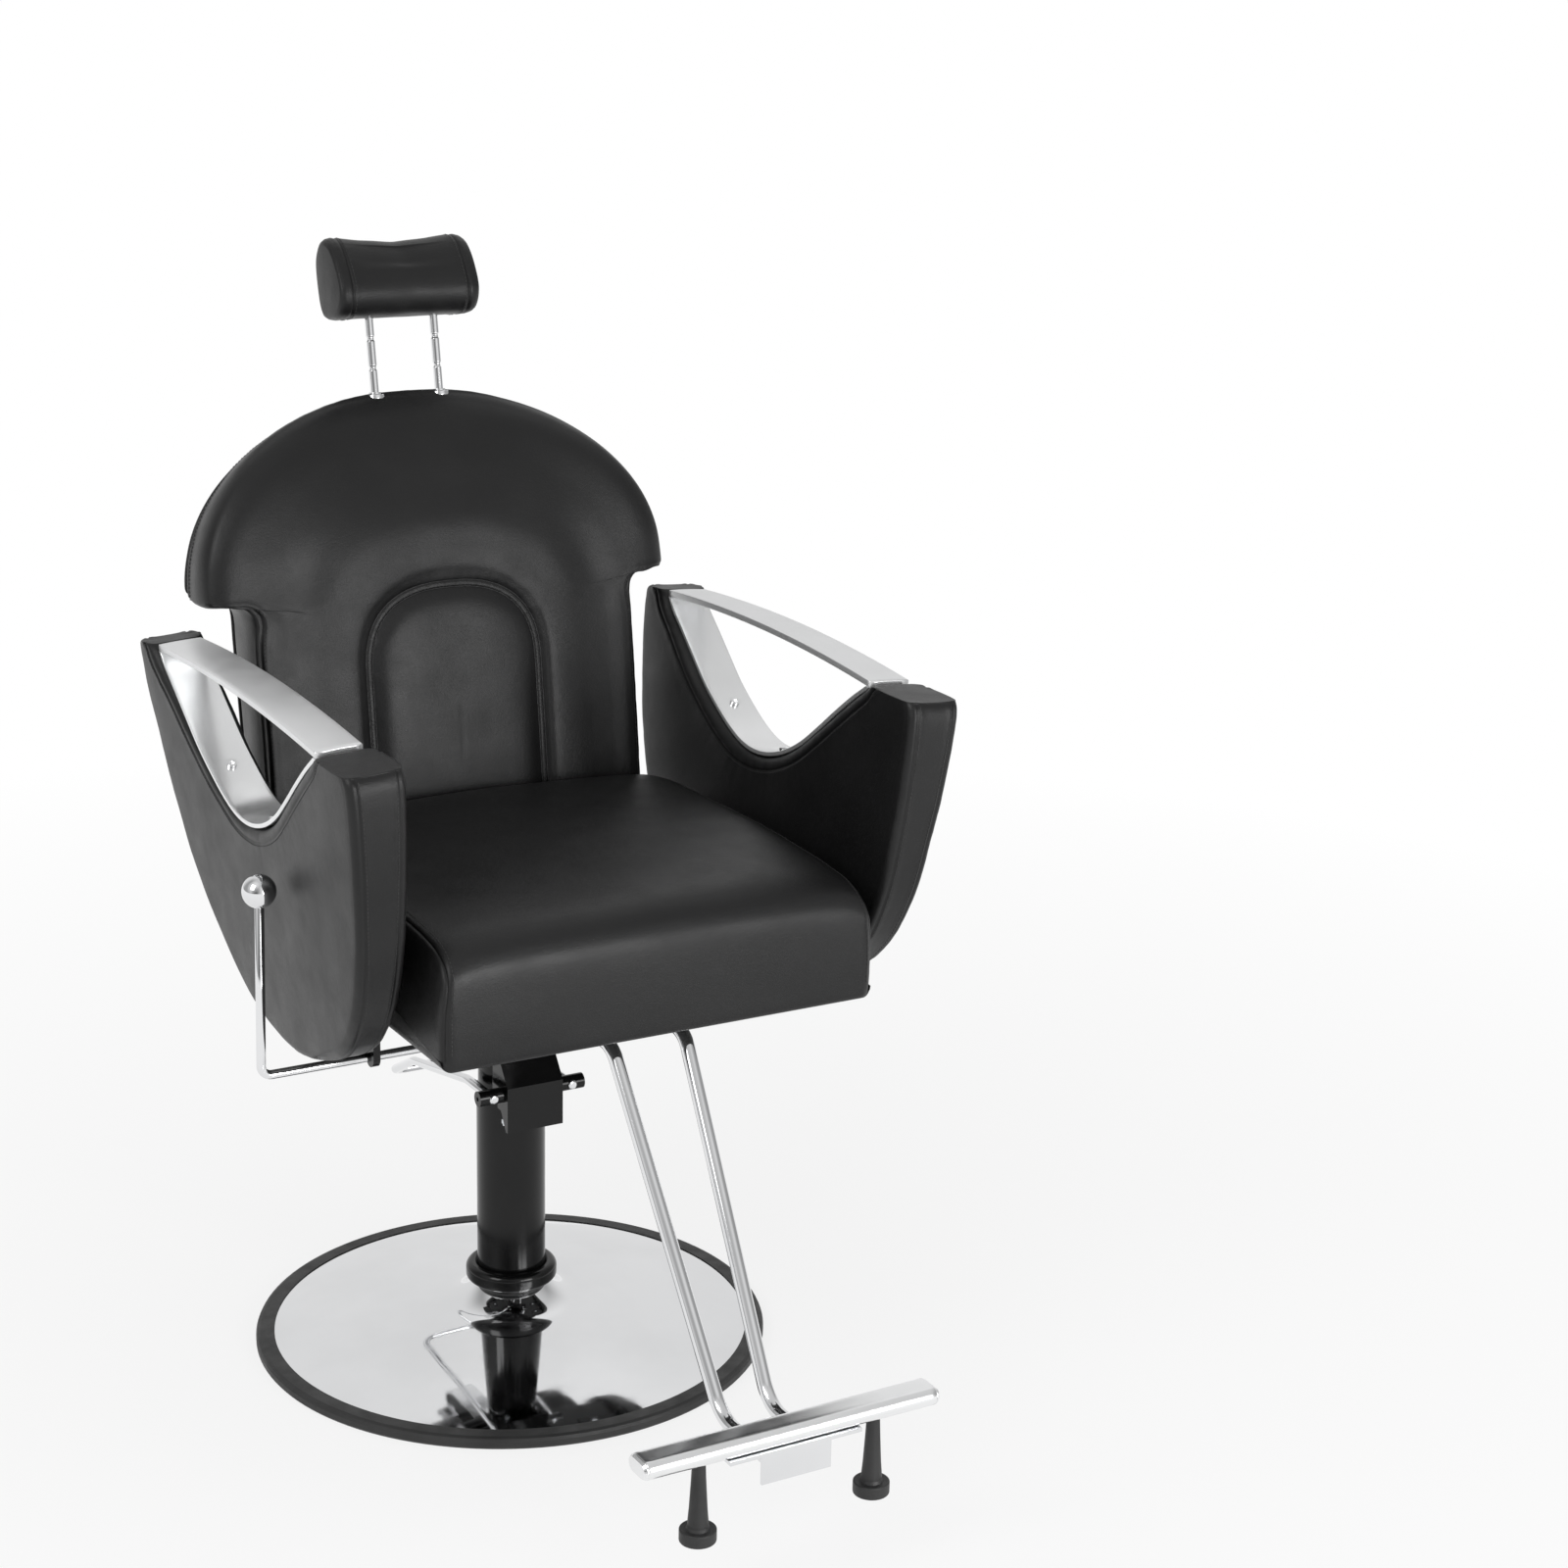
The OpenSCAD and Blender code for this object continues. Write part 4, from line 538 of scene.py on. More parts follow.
def seat_cushion():
    p = seat_profile(420)
    steep = np.clip(np.abs(unit(np.roll(p, -1, 0) - np.roll(p, 1, 0))[:, 1]), 0, 1)
    y, z = p[:, 0], p[:, 1]
    inward = np.where(y < -200, steep, np.where(y > 60, -steep, 0))
    up, below = smooth(545, 646, z), 1 - smooth(SEAT_LOW, 522, z)
    seam_u = 4 + 5.5 * up
    inside = [0, 0.12, 0.25, 0.4, 0.55, 0.68, 0.8, 0.88, 0.94, 0.97, 1.0]
    outside = [0.6, 1.2, 1.9, 2.7, 3.6, 4.6, 5.6, 6.6, 7.8, 9.2, 11, 13.5, 16.5, 20, 24, 29, 35,
               42, 50, 59, 69, 80, 92, 105, 119, 134, 150, 167, 185, 203, 221, 239]
    u = [seam_u * v for v in inside] + [np.minimum(seam_u + d, SEAT_HALF) for d in outside]
    drop_at = [0, 0.5, 2, 5, 11, 22, 40, 75, 130, 200, SEAT_HALF]
    drop = [56, 49, 37, 26, 16.5, 10, 6, 3, 1, 0.2, 0]
    fine = spline(np.stack([drop_at, drop], 1), 12)
    half = []
    for row in u:
        z_row = z - up * np.interp(row, fine[:, 0], fine[:, 1]) + below * round_in(row, SEAT_EDGE)
        half.append(np.stack([SEAT_HALF - row, y + inward * round_in(row, SEAT_CORNER), z_row], 1))
    gusset = []
    centre = np.array([SEAT_HALF, (half[0][:, 1].min() + half[0][:, 1].max()) / 2, 556.0])
    for q in (0.04, 0.2, 0.38, 0.55, 0.7, 0.82, 0.9, 0.95, 0.98):
        ring = centre + (half[0] - centre) * q
        ring[:, 0] += 2.2 * (1 - q) ** 0.8 * min(1.0, (1 - q) * 6)
        gusset.append(ring)
    rings = mirrored(gusset + half)
    wobble = waves(rings, 3, 190) * 0.9 + waves(rings, 4, 85) * 0.35
    rings = rings + outward(rings) * (wobble * smooth(503, 540, rings[..., 2]))[..., None]
    s1 = len(gusset) + len(inside) - 1
    s2 = len(rings) - 1 - s1
    visible = np.nonzero((z > 514) & (y < 118))[0]
    start = visible[np.argmin(np.where(y[visible] < 0, z[visible], 9e9))]
    stop = int(np.argmin(np.abs(y - 95) + 0.2 * np.abs(z - 640)))
    run = np.arange(start, stop, 0.5)
    seams = [(seam_line(rings, s, run), 1.1, 1.15, 0.45, 20 + k) for k, s in enumerate((s1, s2))]
    rings, seam_shade = sew(rings, seams)
    obj = closed_shell("seat_cushion_cover", rings, MAT["black_leatherette"], seam_shade)
    put(obj, "seat", ["seat_cushion"])
    stitch_rows("seat_stitches", rings, [(s1 + 7.2, run), (s2 - 7.2, run)], "seat")


# ---- arms


def arm_half(z):
    return (ARM_T - ARM_TAPER * (ARM_TOP - z)) / 2


def arm_shift(y, z):
    return (z - ARM_TOP) * np.tan(np.radians(ARM_TOE * np.clip((y + 300) / 500, 0, 1)))


def arm_pad(name, side, node):
    outer, inner = spline(ARM_OUTER, 14), spline(ARM_INNER, 14)
    span = np.linalg.norm(inner - outer, axis=1)
    toward = (inner - outer) / span[:, None]
    e = ARM_EDGE
    flat = span - 2 * e
    turn = np.radians(np.linspace(0, 90, 13))
    strip_at = [0.0, 0.25, 0.45, 0.6, 0.68, 0.74, 0.79, 0.84, 0.89, 0.93, 0.97]
    near = [(1.5, 0.04), (3, 0.08), (4.5, 0.12), (6, 0.16), (8, 0.21), (10.5, 0.26), (14, 0.32)]
    middle = (0.12, 0.22, 0.34, 0.45, 0.55, 0.66, 0.78, 0.88)
    close = [np.minimum(mm, flat * share) for mm, share in near]
    reach = close[-1]
    face_at = (close + [reach + (flat - 2 * reach) * f for f in middle]
               + [flat - c for c in close[::-1]])

    def section(sign):
        """Half the loop round the arm, from the middle of the outer to that of the inner strip."""
        half = [(outer, sign * f * (arm_half(outer[:, 1]) - e)) for f in strip_at]
        for a in turn:
            q = outer + toward * (e * (1 - math.cos(a)))
            half.append((q, sign * (arm_half(q[:, 1]) - e * (1 - math.sin(a)))))
        for d in face_at:
            q = outer + toward * (e + d)[:, None]
            rise = ARM_CROWN * np.sin(math.pi * np.clip(d / flat, 0, 1)) ** 0.6
            half.append((q, sign * (arm_half(q[:, 1]) + rise)))
        for a in turn[::-1]:
            q = outer + toward * (span - e * (1 - math.cos(a)))[:, None]
            half.append((q, sign * (arm_half(q[:, 1]) - e * (1 - math.sin(a)))))
        return half + [(inner, sign * f * (arm_half(inner[:, 1]) - e))
                       for f in (0.9, 0.75, 0.5, 0.25, 0.0)]

    loop = section(1) + section(-1)[::-1][1:-1]
    grid = np.stack([np.stack([arm_shift(q[:, 0], q[:, 1]) + across, q[:, 0], q[:, 1]], 1)
                     for q, across in loop], 1)
    caps = [[ring.mean(0) + (ring - ring.mean(0)) * q for q in (0.15, 0.4, 0.65, 0.82, 0.93)]
            for ring in (grid[0], grid[-1])]
    rings = np.concatenate([np.array(caps[0]), grid, np.array(caps[1][::-1])])
    wobble = waves(rings, 11, 170) * 0.8 + waves(rings, 12, 70) * 0.3
    rings = arm_world(rings + outward(rings) * wobble[..., None], side)
    n = grid.shape[1]
    strip_seam = len(strip_at) + 1.3
    side_seam = len(strip_at) + len(turn) + 2 * len(near) + len(middle) - 3.0
    run = np.arange(5, len(rings) - 6, FINE)
    seams = [(seam_line(rings, run, v), 1.1, 1.15, 0.4, 40 + k)
             for k, v in enumerate((strip_seam, n - strip_seam, side_seam, n - side_seam))]
    rings, seam_shade = sew(rings, seams)
    obj = closed_shell(name, rings, MAT["black_leatherette"], seam_shade)
    put(obj, "seat", [node])
    rows = [(run, strip_seam - 3.4), (run, n - strip_seam + 3.4),
            (run, side_seam - 2.0), (run, n - side_seam + 2.0)]
    stitch_rows(name + "_stitches", rings, rows, "seat")


# ---- back


def arc(centre, r, a0, a1, n):
    a = np.radians(a0 + (a1 - a0) * np.arange(n + 1) / n)
    return [(centre[0] + r * math.cos(t), centre[1] + r * math.sin(t)) for t in a]


def back_half(e):
    w, d, low = WAIST_W / 2 - e, DOME_W / 2 - e, BACK_LOW + e
    wing = NOTCH_S + 12
    dome = [(d * math.cos(math.radians(9 * i)) ** DOME_POWER,
             wing + (DOME_S - e - wing) * math.sin(math.radians(9 * i)) ** DOME_POWER)
            for i in range(1, 10)]
    return ([(w * 0.3, low), (w * 0.6, low)] + arc((w - 38, low + 38), 38, -90, 0, 3)
            + [(w, s) for s in (190, 250, 310, 350)]
            + arc((w + 22, NOTCH_S + e - 22), 22, 180, 100, 2)
            + arc((d - 12, NOTCH_S + e + 12), 12, -80, 0, 2) + dome)


def lumbar_half(e):
    w, low, shoulder, top = LUMBAR_HALF - e, BACK_LOW + 14, 300, LUMBAR_TOP - e
    angles = (6, 16, 25, 33, 40, 46, 52, 57, 62, 66, 70, 73, 76, 79, 82, 85.5)
    arch = [(w * math.cos(math.radians(a)) ** 0.8,
             shoulder + (top - shoulder) * math.sin(math.radians(a)) ** 0.8) for a in angles]
    return ([(w * 0.3, low), (w * 0.55, low), (w * 0.78, low), (w * 0.92, low + 2),
             (w, low + 8), (w, low + 20)] + [(w, s) for s in (190, 240, 285)] + arch)


def whole(half, low, top, steps=10):
    """Closed outline from its right half, from the middle of its lower edge round."""
    line = spline([(0, low)] + half + [(0, top)], steps)
    return np.concatenate([line, line[-2:0:-1] * [-1, 1]])


def back_outline(e):
    return whole(back_half(e), BACK_LOW + e, DOME_S - e)


def lumbar_outline(e):
    return whole(lumbar_half(e), BACK_LOW + 14, LUMBAR_TOP - e)


def back_face(p):
    """Depth of the back's front face: leaning rim, rising dome and an arched valley."""
    s, x = p[:, 1], np.abs(p[:, 0]) / (DOME_W / 2)
    low = 12 * (np.maximum(0, 430 - s) / 330) ** 2
    high = 76 * (np.maximum(0, s - 430) / (DOME_S - 430)) ** 2.1
    up = np.maximum(0, s - FIELD_SHOULDER) / (FIELD_TOP - FIELD_SHOULDER)
    q = ((np.abs(p[:, 0]) / FIELD_HALF) ** 2.4 + up**2.4) ** (1 / 2.4)
    valley = (3.2 + 4.8 * smooth(330, 470, s)) * np.exp(-(((q - 1) / 0.18) ** 2))
    return -BACK_FRONT + low + high + 14 * x**4 + valley


def back_cushion():
    edge, panel = back_outline(0), lumbar_outline(0)

    def wall(p):
        return FOAM_REAR - 6 - back_face(p)

    def ring(t, d):
        """Ring at the share t of the way from the edge to the lumbar panel, sunk by d."""
        p = edge * (1 - t) + panel * t
        return in_back(p, back_face(p) + np.minimum(d, wall(p) * d / 50))

    o9, o4 = back_outline(9), back_outline(4)
    rims = np.array([
        in_back(o9, FOAM_REAR), in_back(o4, FOAM_REAR - np.minimum(14, wall(o4) * 0.3)),
        in_back(edge, back_face(edge) + wall(edge) * 0.45)]
        + [ring(t, d) for t, d in ((0.012, 13), (0.05, 4), (0.14, 0), (0.32, 0), (0.5, 0),
                                   (0.68, 0), (0.82, 0), (0.91, 0.8), (0.96, 3.2), (1, 6.0))])
    parts = []
    for k, n in enumerate([6, 18, 12, 6, 8, 14, 14, 14, 12, 10, 8, 8]):
        around = [rims[min(max(k + j, 0), len(rims) - 1)] for j in (-1, 0, 1, 2)]
        parts += [catmull(*around, t) for t in np.arange(n) / n]
    foam_rings = 2                                      # hidden rings put before these, below
    outer_seam = len(parts) + 2 + foam_rings
    inner_seam = outer_seam + 8
    bands = [(0, 6.0), (0.7, 6.3), (1.5, 6.4), (2.3, 6.4), (3.2, 6.3), (4.2, 6.2), (5.4, 6.1),
             (6.6, 6.1), (7.6, 6.2), (8.4, 6.3), (9.1, 6.4), (9.8, 6.3), (10.6, 6.0), (11.6, 5.5),
             (13, 4.7), (15, 3.4), (17.5, 1.9), (20.5, 0.5), (24.5, -0.9), (30, -2.0),
             (38, -2.8), (49, -3.2), (64, -3.5)]
    for e, d in bands:
        p = lumbar_outline(e)
        parts.append(in_back(p, back_face(p) + d))
    middle = (p[:, 1].min() + p[:, 1].max()) / 2
    for q in (0.85, 0.7, 0.55, 0.4, 0.27, 0.15, 0.06):
        inner = np.stack([p[:, 0] * q, middle + (p[:, 1] - middle) * (0.25 + 0.75 * q)], 1)
        parts.append(in_back(inner, back_face(inner) - 3.6))
    mid_s = 362
    keep = parts[0] * [0.9, 1, 0.9] + [0, 0, mid_s * (1 - 0.9)]
    local = np.array([keep * [0.1, 1, 0.1] + [0, 0, mid_s * 0.9], keep] + parts)
    w = local[..., 1]
    wobble = waves(local, 31, 210) * 1.0 + waves(local, 32, 90) * 0.4
    w += wobble * smooth(-70, -30, -(w - back_face(edge).min()))
    rings = back_world(local)

    # the gusset seam runs on the side wall, and comes forward under the notches
    x_edge, s_edge = np.abs(edge[:, 0]), edge[:, 1]
    under = smooth(-DOME_W / 2 + 1, -DOME_W / 2 + 12, -x_edge)
    waist = smooth(-NOTCH_S + 8, -NOTCH_S + 60, -s_edge)
    deep = np.where(s_edge < NOTCH_S + 14, 68 - 66.5 * under + 3.0 * waist * under, 68)
    front, depth = back_face(edge), np.minimum(deep, wall(edge) - 8)
    wall_rings = np.arange(2, 52)
    crossing = [np.interp(-depth[k], front[k] - w[wall_rings, k], wall_rings)
                for k in range(len(edge))]
    run = np.nonzero(s_edge > BACK_LOW + 45)[0]
    fine = np.arange(run[0], run[-1], FINE)
    at_u = np.interp(fine, np.arange(len(edge)), crossing)
    arch = np.nonzero(panel[:, 1] > BACK_LOW + 40)[0]
    fine_arch = np.arange(arch[0], arch[-1], FINE)
    seams = [(seam_line(rings, at_u, fine), 2.0, 2.0, 0.8, 60),
             (seam_line(rings, outer_seam, fine_arch), 0.7, 0.9, 0.15, 61),
             (seam_line(rings, inner_seam, fine_arch), 0.7, 0.9, 0.2, 62)]
    rings, seam_shade = sew(rings, seams)
    obj = closed_shell("back_cushion_cover", rings, MAT["black_leatherette"], seam_shade)
    put(obj, "back", ["back_cushion"])
    rows = [(at_u + 3.4, fine), (outer_seam + 3.0, fine_arch), (inner_seam - 2.6, fine_arch)]
    stitch_rows("back_stitches", rings, rows, "back")


def back_cover():
    rims = [(9.5, -COVER_T), (9.7, -9.5), (10.4, -6.5), (12, -4), (14.5, -2.2), (18, -1.1),
            (23, -0.5), (27, -0.4), (28.2, -0.5), (29.4, -0.4), (31, -0.2)]
    local = [in_back(back_outline(e), BACK_REAR + w) for e, w in rims]
    centre = np.array([0, 0, NOTCH_S + 60.0])

    def shrunk(ring, q):
        return centre + (ring - centre) * [q, 1, q]

    inner = [shrunk(local[0], q) for q in (0.1, 0.5, 0.94)]
    for q in (0.98, 0.94, 0.88, 0.8, 0.66, 0.52, 0.38, 0.24, 0.1):
        ring = shrunk(local[len(rims) - 1], q)
        ring[:, 1] = BACK_REAR + 0.5 - 0.7 * max(0, q - 0.88) / 0.12
        local.append(ring)
    rings = back_world(np.array(inner + local))
    seam = len(inner) + 8
    run = np.arange(0, rings.shape[1], FINE)
    rings, seam_shade = sew(rings, [(seam_line(rings, seam, run), 0.9, 1.3, 0.3, 70)])
    obj = closed_shell("back_rear_cover", rings, MAT["cover_leatherette"], seam_shade)
    put(obj, "back", ["back_cover"])
    stitch_rows("rear_cover_stitches", rings, [(seam + 1.4, run)], "back")


# ---- headrest


def headrest_cushion():
    profile = even(spline(HEAD_PROFILE, 16, closed=True), 150, closed=True)
    centre = np.array([70.0, 45.0])
    # distance from the end, size of the section there, and how far the middle dips
    table = np.array([
        (0, 0.86, 0), (1.5, 0.93, 0), (5, 0.98, 0), (11, 1, 0), (18, 1, 0.5), (24, 1, 0.8),
        (45, 1, 3), (70, 1, 5), (HEAD_W / 2, 1, 6)])
    u = np.concatenate([[0, 0.3, 0.8, 1.5, 2.4, 3.6, 5, 7, 9], np.arange(10, 25, 0.7),
                        np.arange(25.5, HEAD_W / 2, 4.2)])

    def section(x, size, dip):
        q = centre + (profile - centre) * size
        w = q[:, 0] + np.where(q[:, 0] < 60, dip * 0.5, 0) * smooth(-66, -54, -q[:, 0])
        s = HEAD_S + q[:, 1] * HEAD_H / 93 - dip * smooth(52, 68, q[:, 1])
        return np.stack([np.full(len(q), -HEAD_W / 2 + x), w, s], 1)

    caps = [section(-1.6 * (1 - (k / 0.86) ** 2), k, 0)
            for k in (0.06, 0.2, 0.36, 0.52, 0.66, 0.77, 0.83)]
    sizes, dips = (np.interp(u, table[:, 0], table[:, k]) for k in (1, 2))
    half = [section(*row) for row in zip(u, sizes, dips)]
    local = mirrored(caps + half)
    wobble = waves(local, 51, 120) * 0.5 + waves(local, 52, 45) * 0.3
    rings = back_world(local + outward(local) * wobble[..., None])
    seam = len(caps) + int(np.argmin(np.abs(u - 15)))
    other = len(rings) - 1 - seam
    run = np.arange(0, rings.shape[1] + 0.1, FINE)
    seams = [(seam_line(rings, k, run), 0.9, 1.1, 0.35, 80 + i)
             for i, k in enumerate((seam, other))]
    rings, seam_shade = sew(rings, seams)
    obj = closed_shell("headrest_cover", rings, MAT["black_leatherette"], seam_shade)
    put(obj, "headrest", ["headrest_cushion"])
    stitch_rows("headrest_stitches", rings, [(seam + 5.5, run), (other - 5.5, run)], "headrest")


# ---- bright work


def rounded(points, radii, steps=14):
    """Runs joined by bends of given radii."""
    p = [np.asarray(q, float) for q in points]
    line = [p[0]]
    for i, r in enumerate(radii, 1):
        a, b = unit(p[i] - p[i - 1]), unit(p[i + 1] - p[i])
        angle = math.acos(max(-1, min(1, a @ b)))
        cut = r * math.tan(angle / 2)
        m = unit(b - (b @ a) * a)
        for t in angle * np.arange(steps + 1) / steps:
            line.append(p[i] + a * (r * math.sin(t) - cut) + m * r * (1 - math.cos(t)))
    return np.array(line + [p[-1]])


def tube_rings(path, r, sides=28, chamfer=1.2):
    """Rings of a round rod along a path, with small chamfers at its ends."""
    p = np.asarray(path, float)
    t = unit(np.gradient(p, axis=0))
    side = np.array([0.31, 0.22, 0.92]) if abs(t[0][2]) < 0.9 else np.array([1.0, 0, 0])
    x = unit(np.cross(side, t[0]))
    a = np.arange(sides) * 2 * math.pi / sides
    rings = []
    for i in range(len(p)):
        x = unit(x - (x @ t[i]) * t[i])
        rings.append(p[i] + r * (np.cos(a)[:, None] * x + np.sin(a)[:, None] * np.cross(t[i], x)))
    first, last = (p[k] + (rings[k] - p[k]) * (1 - chamfer / r) for k in (0, -1))
    rings[0] = rings[0] + t[0] * chamfer
    rings[-1] = rings[-1] - t[-1] * chamfer
    return np.array([p[0] + (first - p[0]) * 0.5, first] + rings
                    + [last, p[-1] + (last - p[-1]) * 0.5])


def join_shells(name, groups, material, capped=True):
    """One object of several shells, each capped or, round a hole, closed on itself."""
    points, faces = [], []
    for rings in groups:
        m, n = rings.shape[:2]
        faces += ring_faces(m, n, len(points), capped)
        points += rings.reshape(-1, 3).tolist()
        if capped:
            points += [rings[0].mean(0).tolist(), rings[-1].mean(0).tolist()]
    obj = new_object(name, points, faces, material)
    work = bmesh.new()
    work.from_mesh(obj.data)
    bmesh.ops.recalc_face_normals(work, faces=work.faces)
    work.to_mesh(obj.data)
    work.free()
    return obj


def foot_pedal():
    x, shaft_y, shaft_z, r = 49.5, -52.0, 322.0, 5.5
    leg = [(x, shaft_y - 11, shaft_z), (x, 12, 321), (x, 168, 290), (x, 238, 252)]
    path = leg + [(-a, b, c) for a, b, c in leg[::-1]]
    line = rounded(path, [60, 60, 20, 20, 60, 60])
    obj = join_shells("foot_pedal_loop", [tube_rings(line, r)], MAT["mirror_chrome"])
    put(obj, "pedal", ["foot_pedal"])


def footrest_frame():
    r = 8.0
    lo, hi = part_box("footrest_frame")
    tube_z, end_z, end_y = hi[2] / MM - r, lo[2] / MM + r, FOOT_Y - FOOT_W / 2 + 6
    shells = []
    for s in (-1, 1):
        line = rounded([(s * 43, -75, tube_z), (s * 43, -341, tube_z), (s * 28, -561, end_z),
                        (s * 28, end_y, end_z)], [30, 45], 16)
        shells.append(tube_rings(line, r))
    obj = join_shells("footrest_tubes", shells, MAT["mirror_chrome"])
    put(obj, "seat", ["footrest_frame"])


def strip(name, line, normal, half_w, t, frame_of, material, bevel=1.0, crown=0.0):
    """A flat bar bent along a line in the upright plane, with small round edges."""
    corner = [(half_w - bevel * (1 - math.sin(a)), bevel * (1 - math.cos(a)))
              for a in np.radians([0, 22.5, 45, 67.5, 90])]
    across = np.linspace(-1, 1, 13)[1:-1] * (half_w - bevel)
    loop = [(x, 0.0) for x in across] + corner
    loop += [(x, t - crown - y) for x, y in corner[::-1]]
    loop += [(x, t - crown * (x / half_w) ** 2) for x in across[::-1]]
    loop += [(-x, t - crown - y) for x, y in corner] + [(-x, y) for x, y in corner[::-1]]
    rings = np.array([[(x, p[0] + n[0] * h, p[1] + n[1] * h) for x, h in loop]
                      for p, n in zip(line, normal)])
    middle = rings.mean(1, keepdims=True)
    ends = middle + (rings - middle) * 0.5
    rings = np.concatenate([ends[:1], rings, ends[-1:]])
    return closed_shell(name, frame_of(rings), material)


def bar_top(y):
    """Height of the arm rail's top."""
    mid, half = (BAR_BACK + BAR_FRONT) / 2, (BAR_BACK - BAR_FRONT) / 2
    q = (y - mid) / half
    return ARM_TOP + 5.5 + 4.5 * q + BAR_RISE * (1 - q * q)


def eased(points, r, closed=False):
    """A profile with its corners rounded by r and its flats held by close points."""
    p = [np.asarray(q, float) for q in points]
    n = len(p)
    line = []
    for i in range(n):
        if not closed and i in (0, n - 1):
            line.append(p[i])
            continue
        u, v = p[i] - p[i - 1], p[(i + 1) % n] - p[i]
        lu, lv = np.linalg.norm(u), np.linalg.norm(v)
        u, v = u / lu, v / lv
        if u @ v > 0.995:
            line.append(p[i])
            continue
        cut = min(r, 0.3 * lu, 0.3 * lv)
        line.append(p[i] - u * cut * 1.5)
        for t in (0, 0.25, 0.5, 0.75, 1):
            line.append(p[i] - u * cut * (1 - t) ** 2 + v * cut * t**2)
        line.append(p[i] + v * cut * 1.5)
    return np.array(line)


def turned(profile, segments):
    """Rings of a turned solid: its profile ends on the axis or closes round a hole."""
    a = np.arange(segments) * 2 * math.pi / segments
    r = np.maximum(np.asarray(profile)[:, 0], 0.02)[:, None]
    z = np.asarray(profile)[:, 1][:, None]
    return np.stack([r * np.cos(a), r * np.sin(a), np.broadcast_to(z, (len(r), segments))], 2)


def base():
    hole, disc_r, edge_z, rise, flare = 42.5, 284.0, 11.7, 34.0, 20.0
    radii = hole + (disc_r - hole) * np.linspace(0, 1, 90) ** 1.7
    top = [(r, edge_z + rise * (1 - (r / disc_r) ** 2)
            + flare * max(0, 1 - (r - hole) / 46) ** 2.3) for r in radii]
    low = [(r, z - 2.5) for r, z in top[::-1]]
    dome = turned(eased(top + low, 0.6, closed=True), 256)
    obj = join_shells("base_dome", [dome], MAT["mirror_chrome"], capped=False)
    put(obj, "base", ["base_disc"])
    collar = [(0, 8), (42, 8), (42, 64)] + arc((47.5, 74), 6, -80, 0, 8) + arc(
        (45.5, 81), 8, 0, 80, 10) + [(43, 89), (40, 87), (40, 60), (0, 60)]
    obj = join_shells("base_ring", [turned(eased(collar, 0.5), 128)], MAT["black_paint"])
    put(obj, "base", ["base_collar"])
    tube = turned(eased([(36.5, 60), (40, 60), (40, 312), (36.5, 312)], 0.8, closed=True), 160)
    obj = join_shells("column", [tube], MAT["black_paint"], capped=False)
    put(obj, "base", ["pump_tube"])


def lever():
    lean, y0, z0, x0 = math.radians(2.5), -158.0, 441.0, 362.0

    def place(p):
        p = np.asarray(p, float)
        c, s = math.cos(lean), math.sin(lean)
        return np.stack([p[..., 0], y0 + p[..., 1] * c - p[..., 2] * s,
                         z0 + p[..., 1] * s + p[..., 2] * c], -1)

    line = rounded([(-60, 0, 0), (-x0, 0, 0), (-x0, 0, 193)], [12], 16)
    obj = join_shells("lever_rod", [place(tube_rings(line, 5.0))], MAT["mirror_chrome"])
    put(obj, "lever", ["recline_lever"])
    ball = [(18 * math.sin(a), -18 * math.cos(a)) for a in np.linspace(0.32, math.pi, 48)]
    neck = [(0, -15.2), (5.4, -15.2), (6.2, -15.6), (6.4, -16.4)]
    rings = turned(neck + ball[1:], 96) + np.array([-x0, 0, 207])
    obj = join_shells("lever_knob", [place(rings)], MAT["mirror_chrome"])
    put(obj, "lever", ["lever_ball"])


def posts():
    low, top, notch_pitch = DOME_S - 122, HEAD_S + 58, 33.5
    profile = [(0, low), (4, low), (5, low + 1)]
    for k in (-1, 0, 1, 2):
        s = DOME_S - 6 + notch_pitch * k
        profile += [(5, s - 3), (4, s - 1.5), (4, s + 1.5), (5, s + 3)]
    profile += [(5, top - 1), (4, top), (0, top)]
    s = DOME_S - 8
    ring = [(5.3, s), (12, s), (11, s + 5), (7.5, s + 5), (7.5, s + 7.5), (5.3, s + 7.5)]
    rods, collars = ([back_world(rings + np.array([x, POST_W, 0]))
                      for x in (-POST_GAP / 2, POST_GAP / 2)]
                     for rings in (turned(eased(profile, 0.4), 40),
                                   turned(eased(ring, 0.7, closed=True), 48)))
    obj = join_shells("headrest_rods", rods, MAT["mirror_chrome"])
    put(obj, "headrest", ["headrest_posts"])
    obj = join_shells("post_collars", collars, MAT["mirror_chrome"], capped=False)
    put(obj, "back", ["guide_collars"])


def foot_bar():
    z0, half, t, cap = 172.0, 170.0, 20.0, 4.0
    nose = FOOT_W / 2 - t / 2
    section = [(nose + t / 2 * math.cos(math.radians(q)), t / 2 * math.sin(math.radians(q)))
               for q in np.linspace(-90, 90, 15)]
    flat = [(x, t / 2) for x in np.linspace(nose, -nose, 7)[1:-1]]
    section = np.array(section + flat + [(-x, z) for x, z in section[::-1]]
                       + [(-x, -z) for x, z in flat])
    ends = [(half - cap, 0.0), (half - cap - 0.15, 0.25), (half - cap - 0.7, 0.45)]
    tube = []
    for x, inset in ([(-q, i) for q, i in ends] + [(x, 0.5) for x in np.linspace(-160, 160, 30)]
                     + ends[::-1]):
        k = 1 - (0.5 - inset) / (t / 2)
        tube.append(np.stack([np.full(len(section), x), FOOT_Y + section[:, 0] * k,
                              z0 + section[:, 1] * k], 1))
    obj = join_shells("foot_bar_tube", [np.array(tube)], MAT["bright_bar"])
    put(obj, "seat", ["foot_bar"])


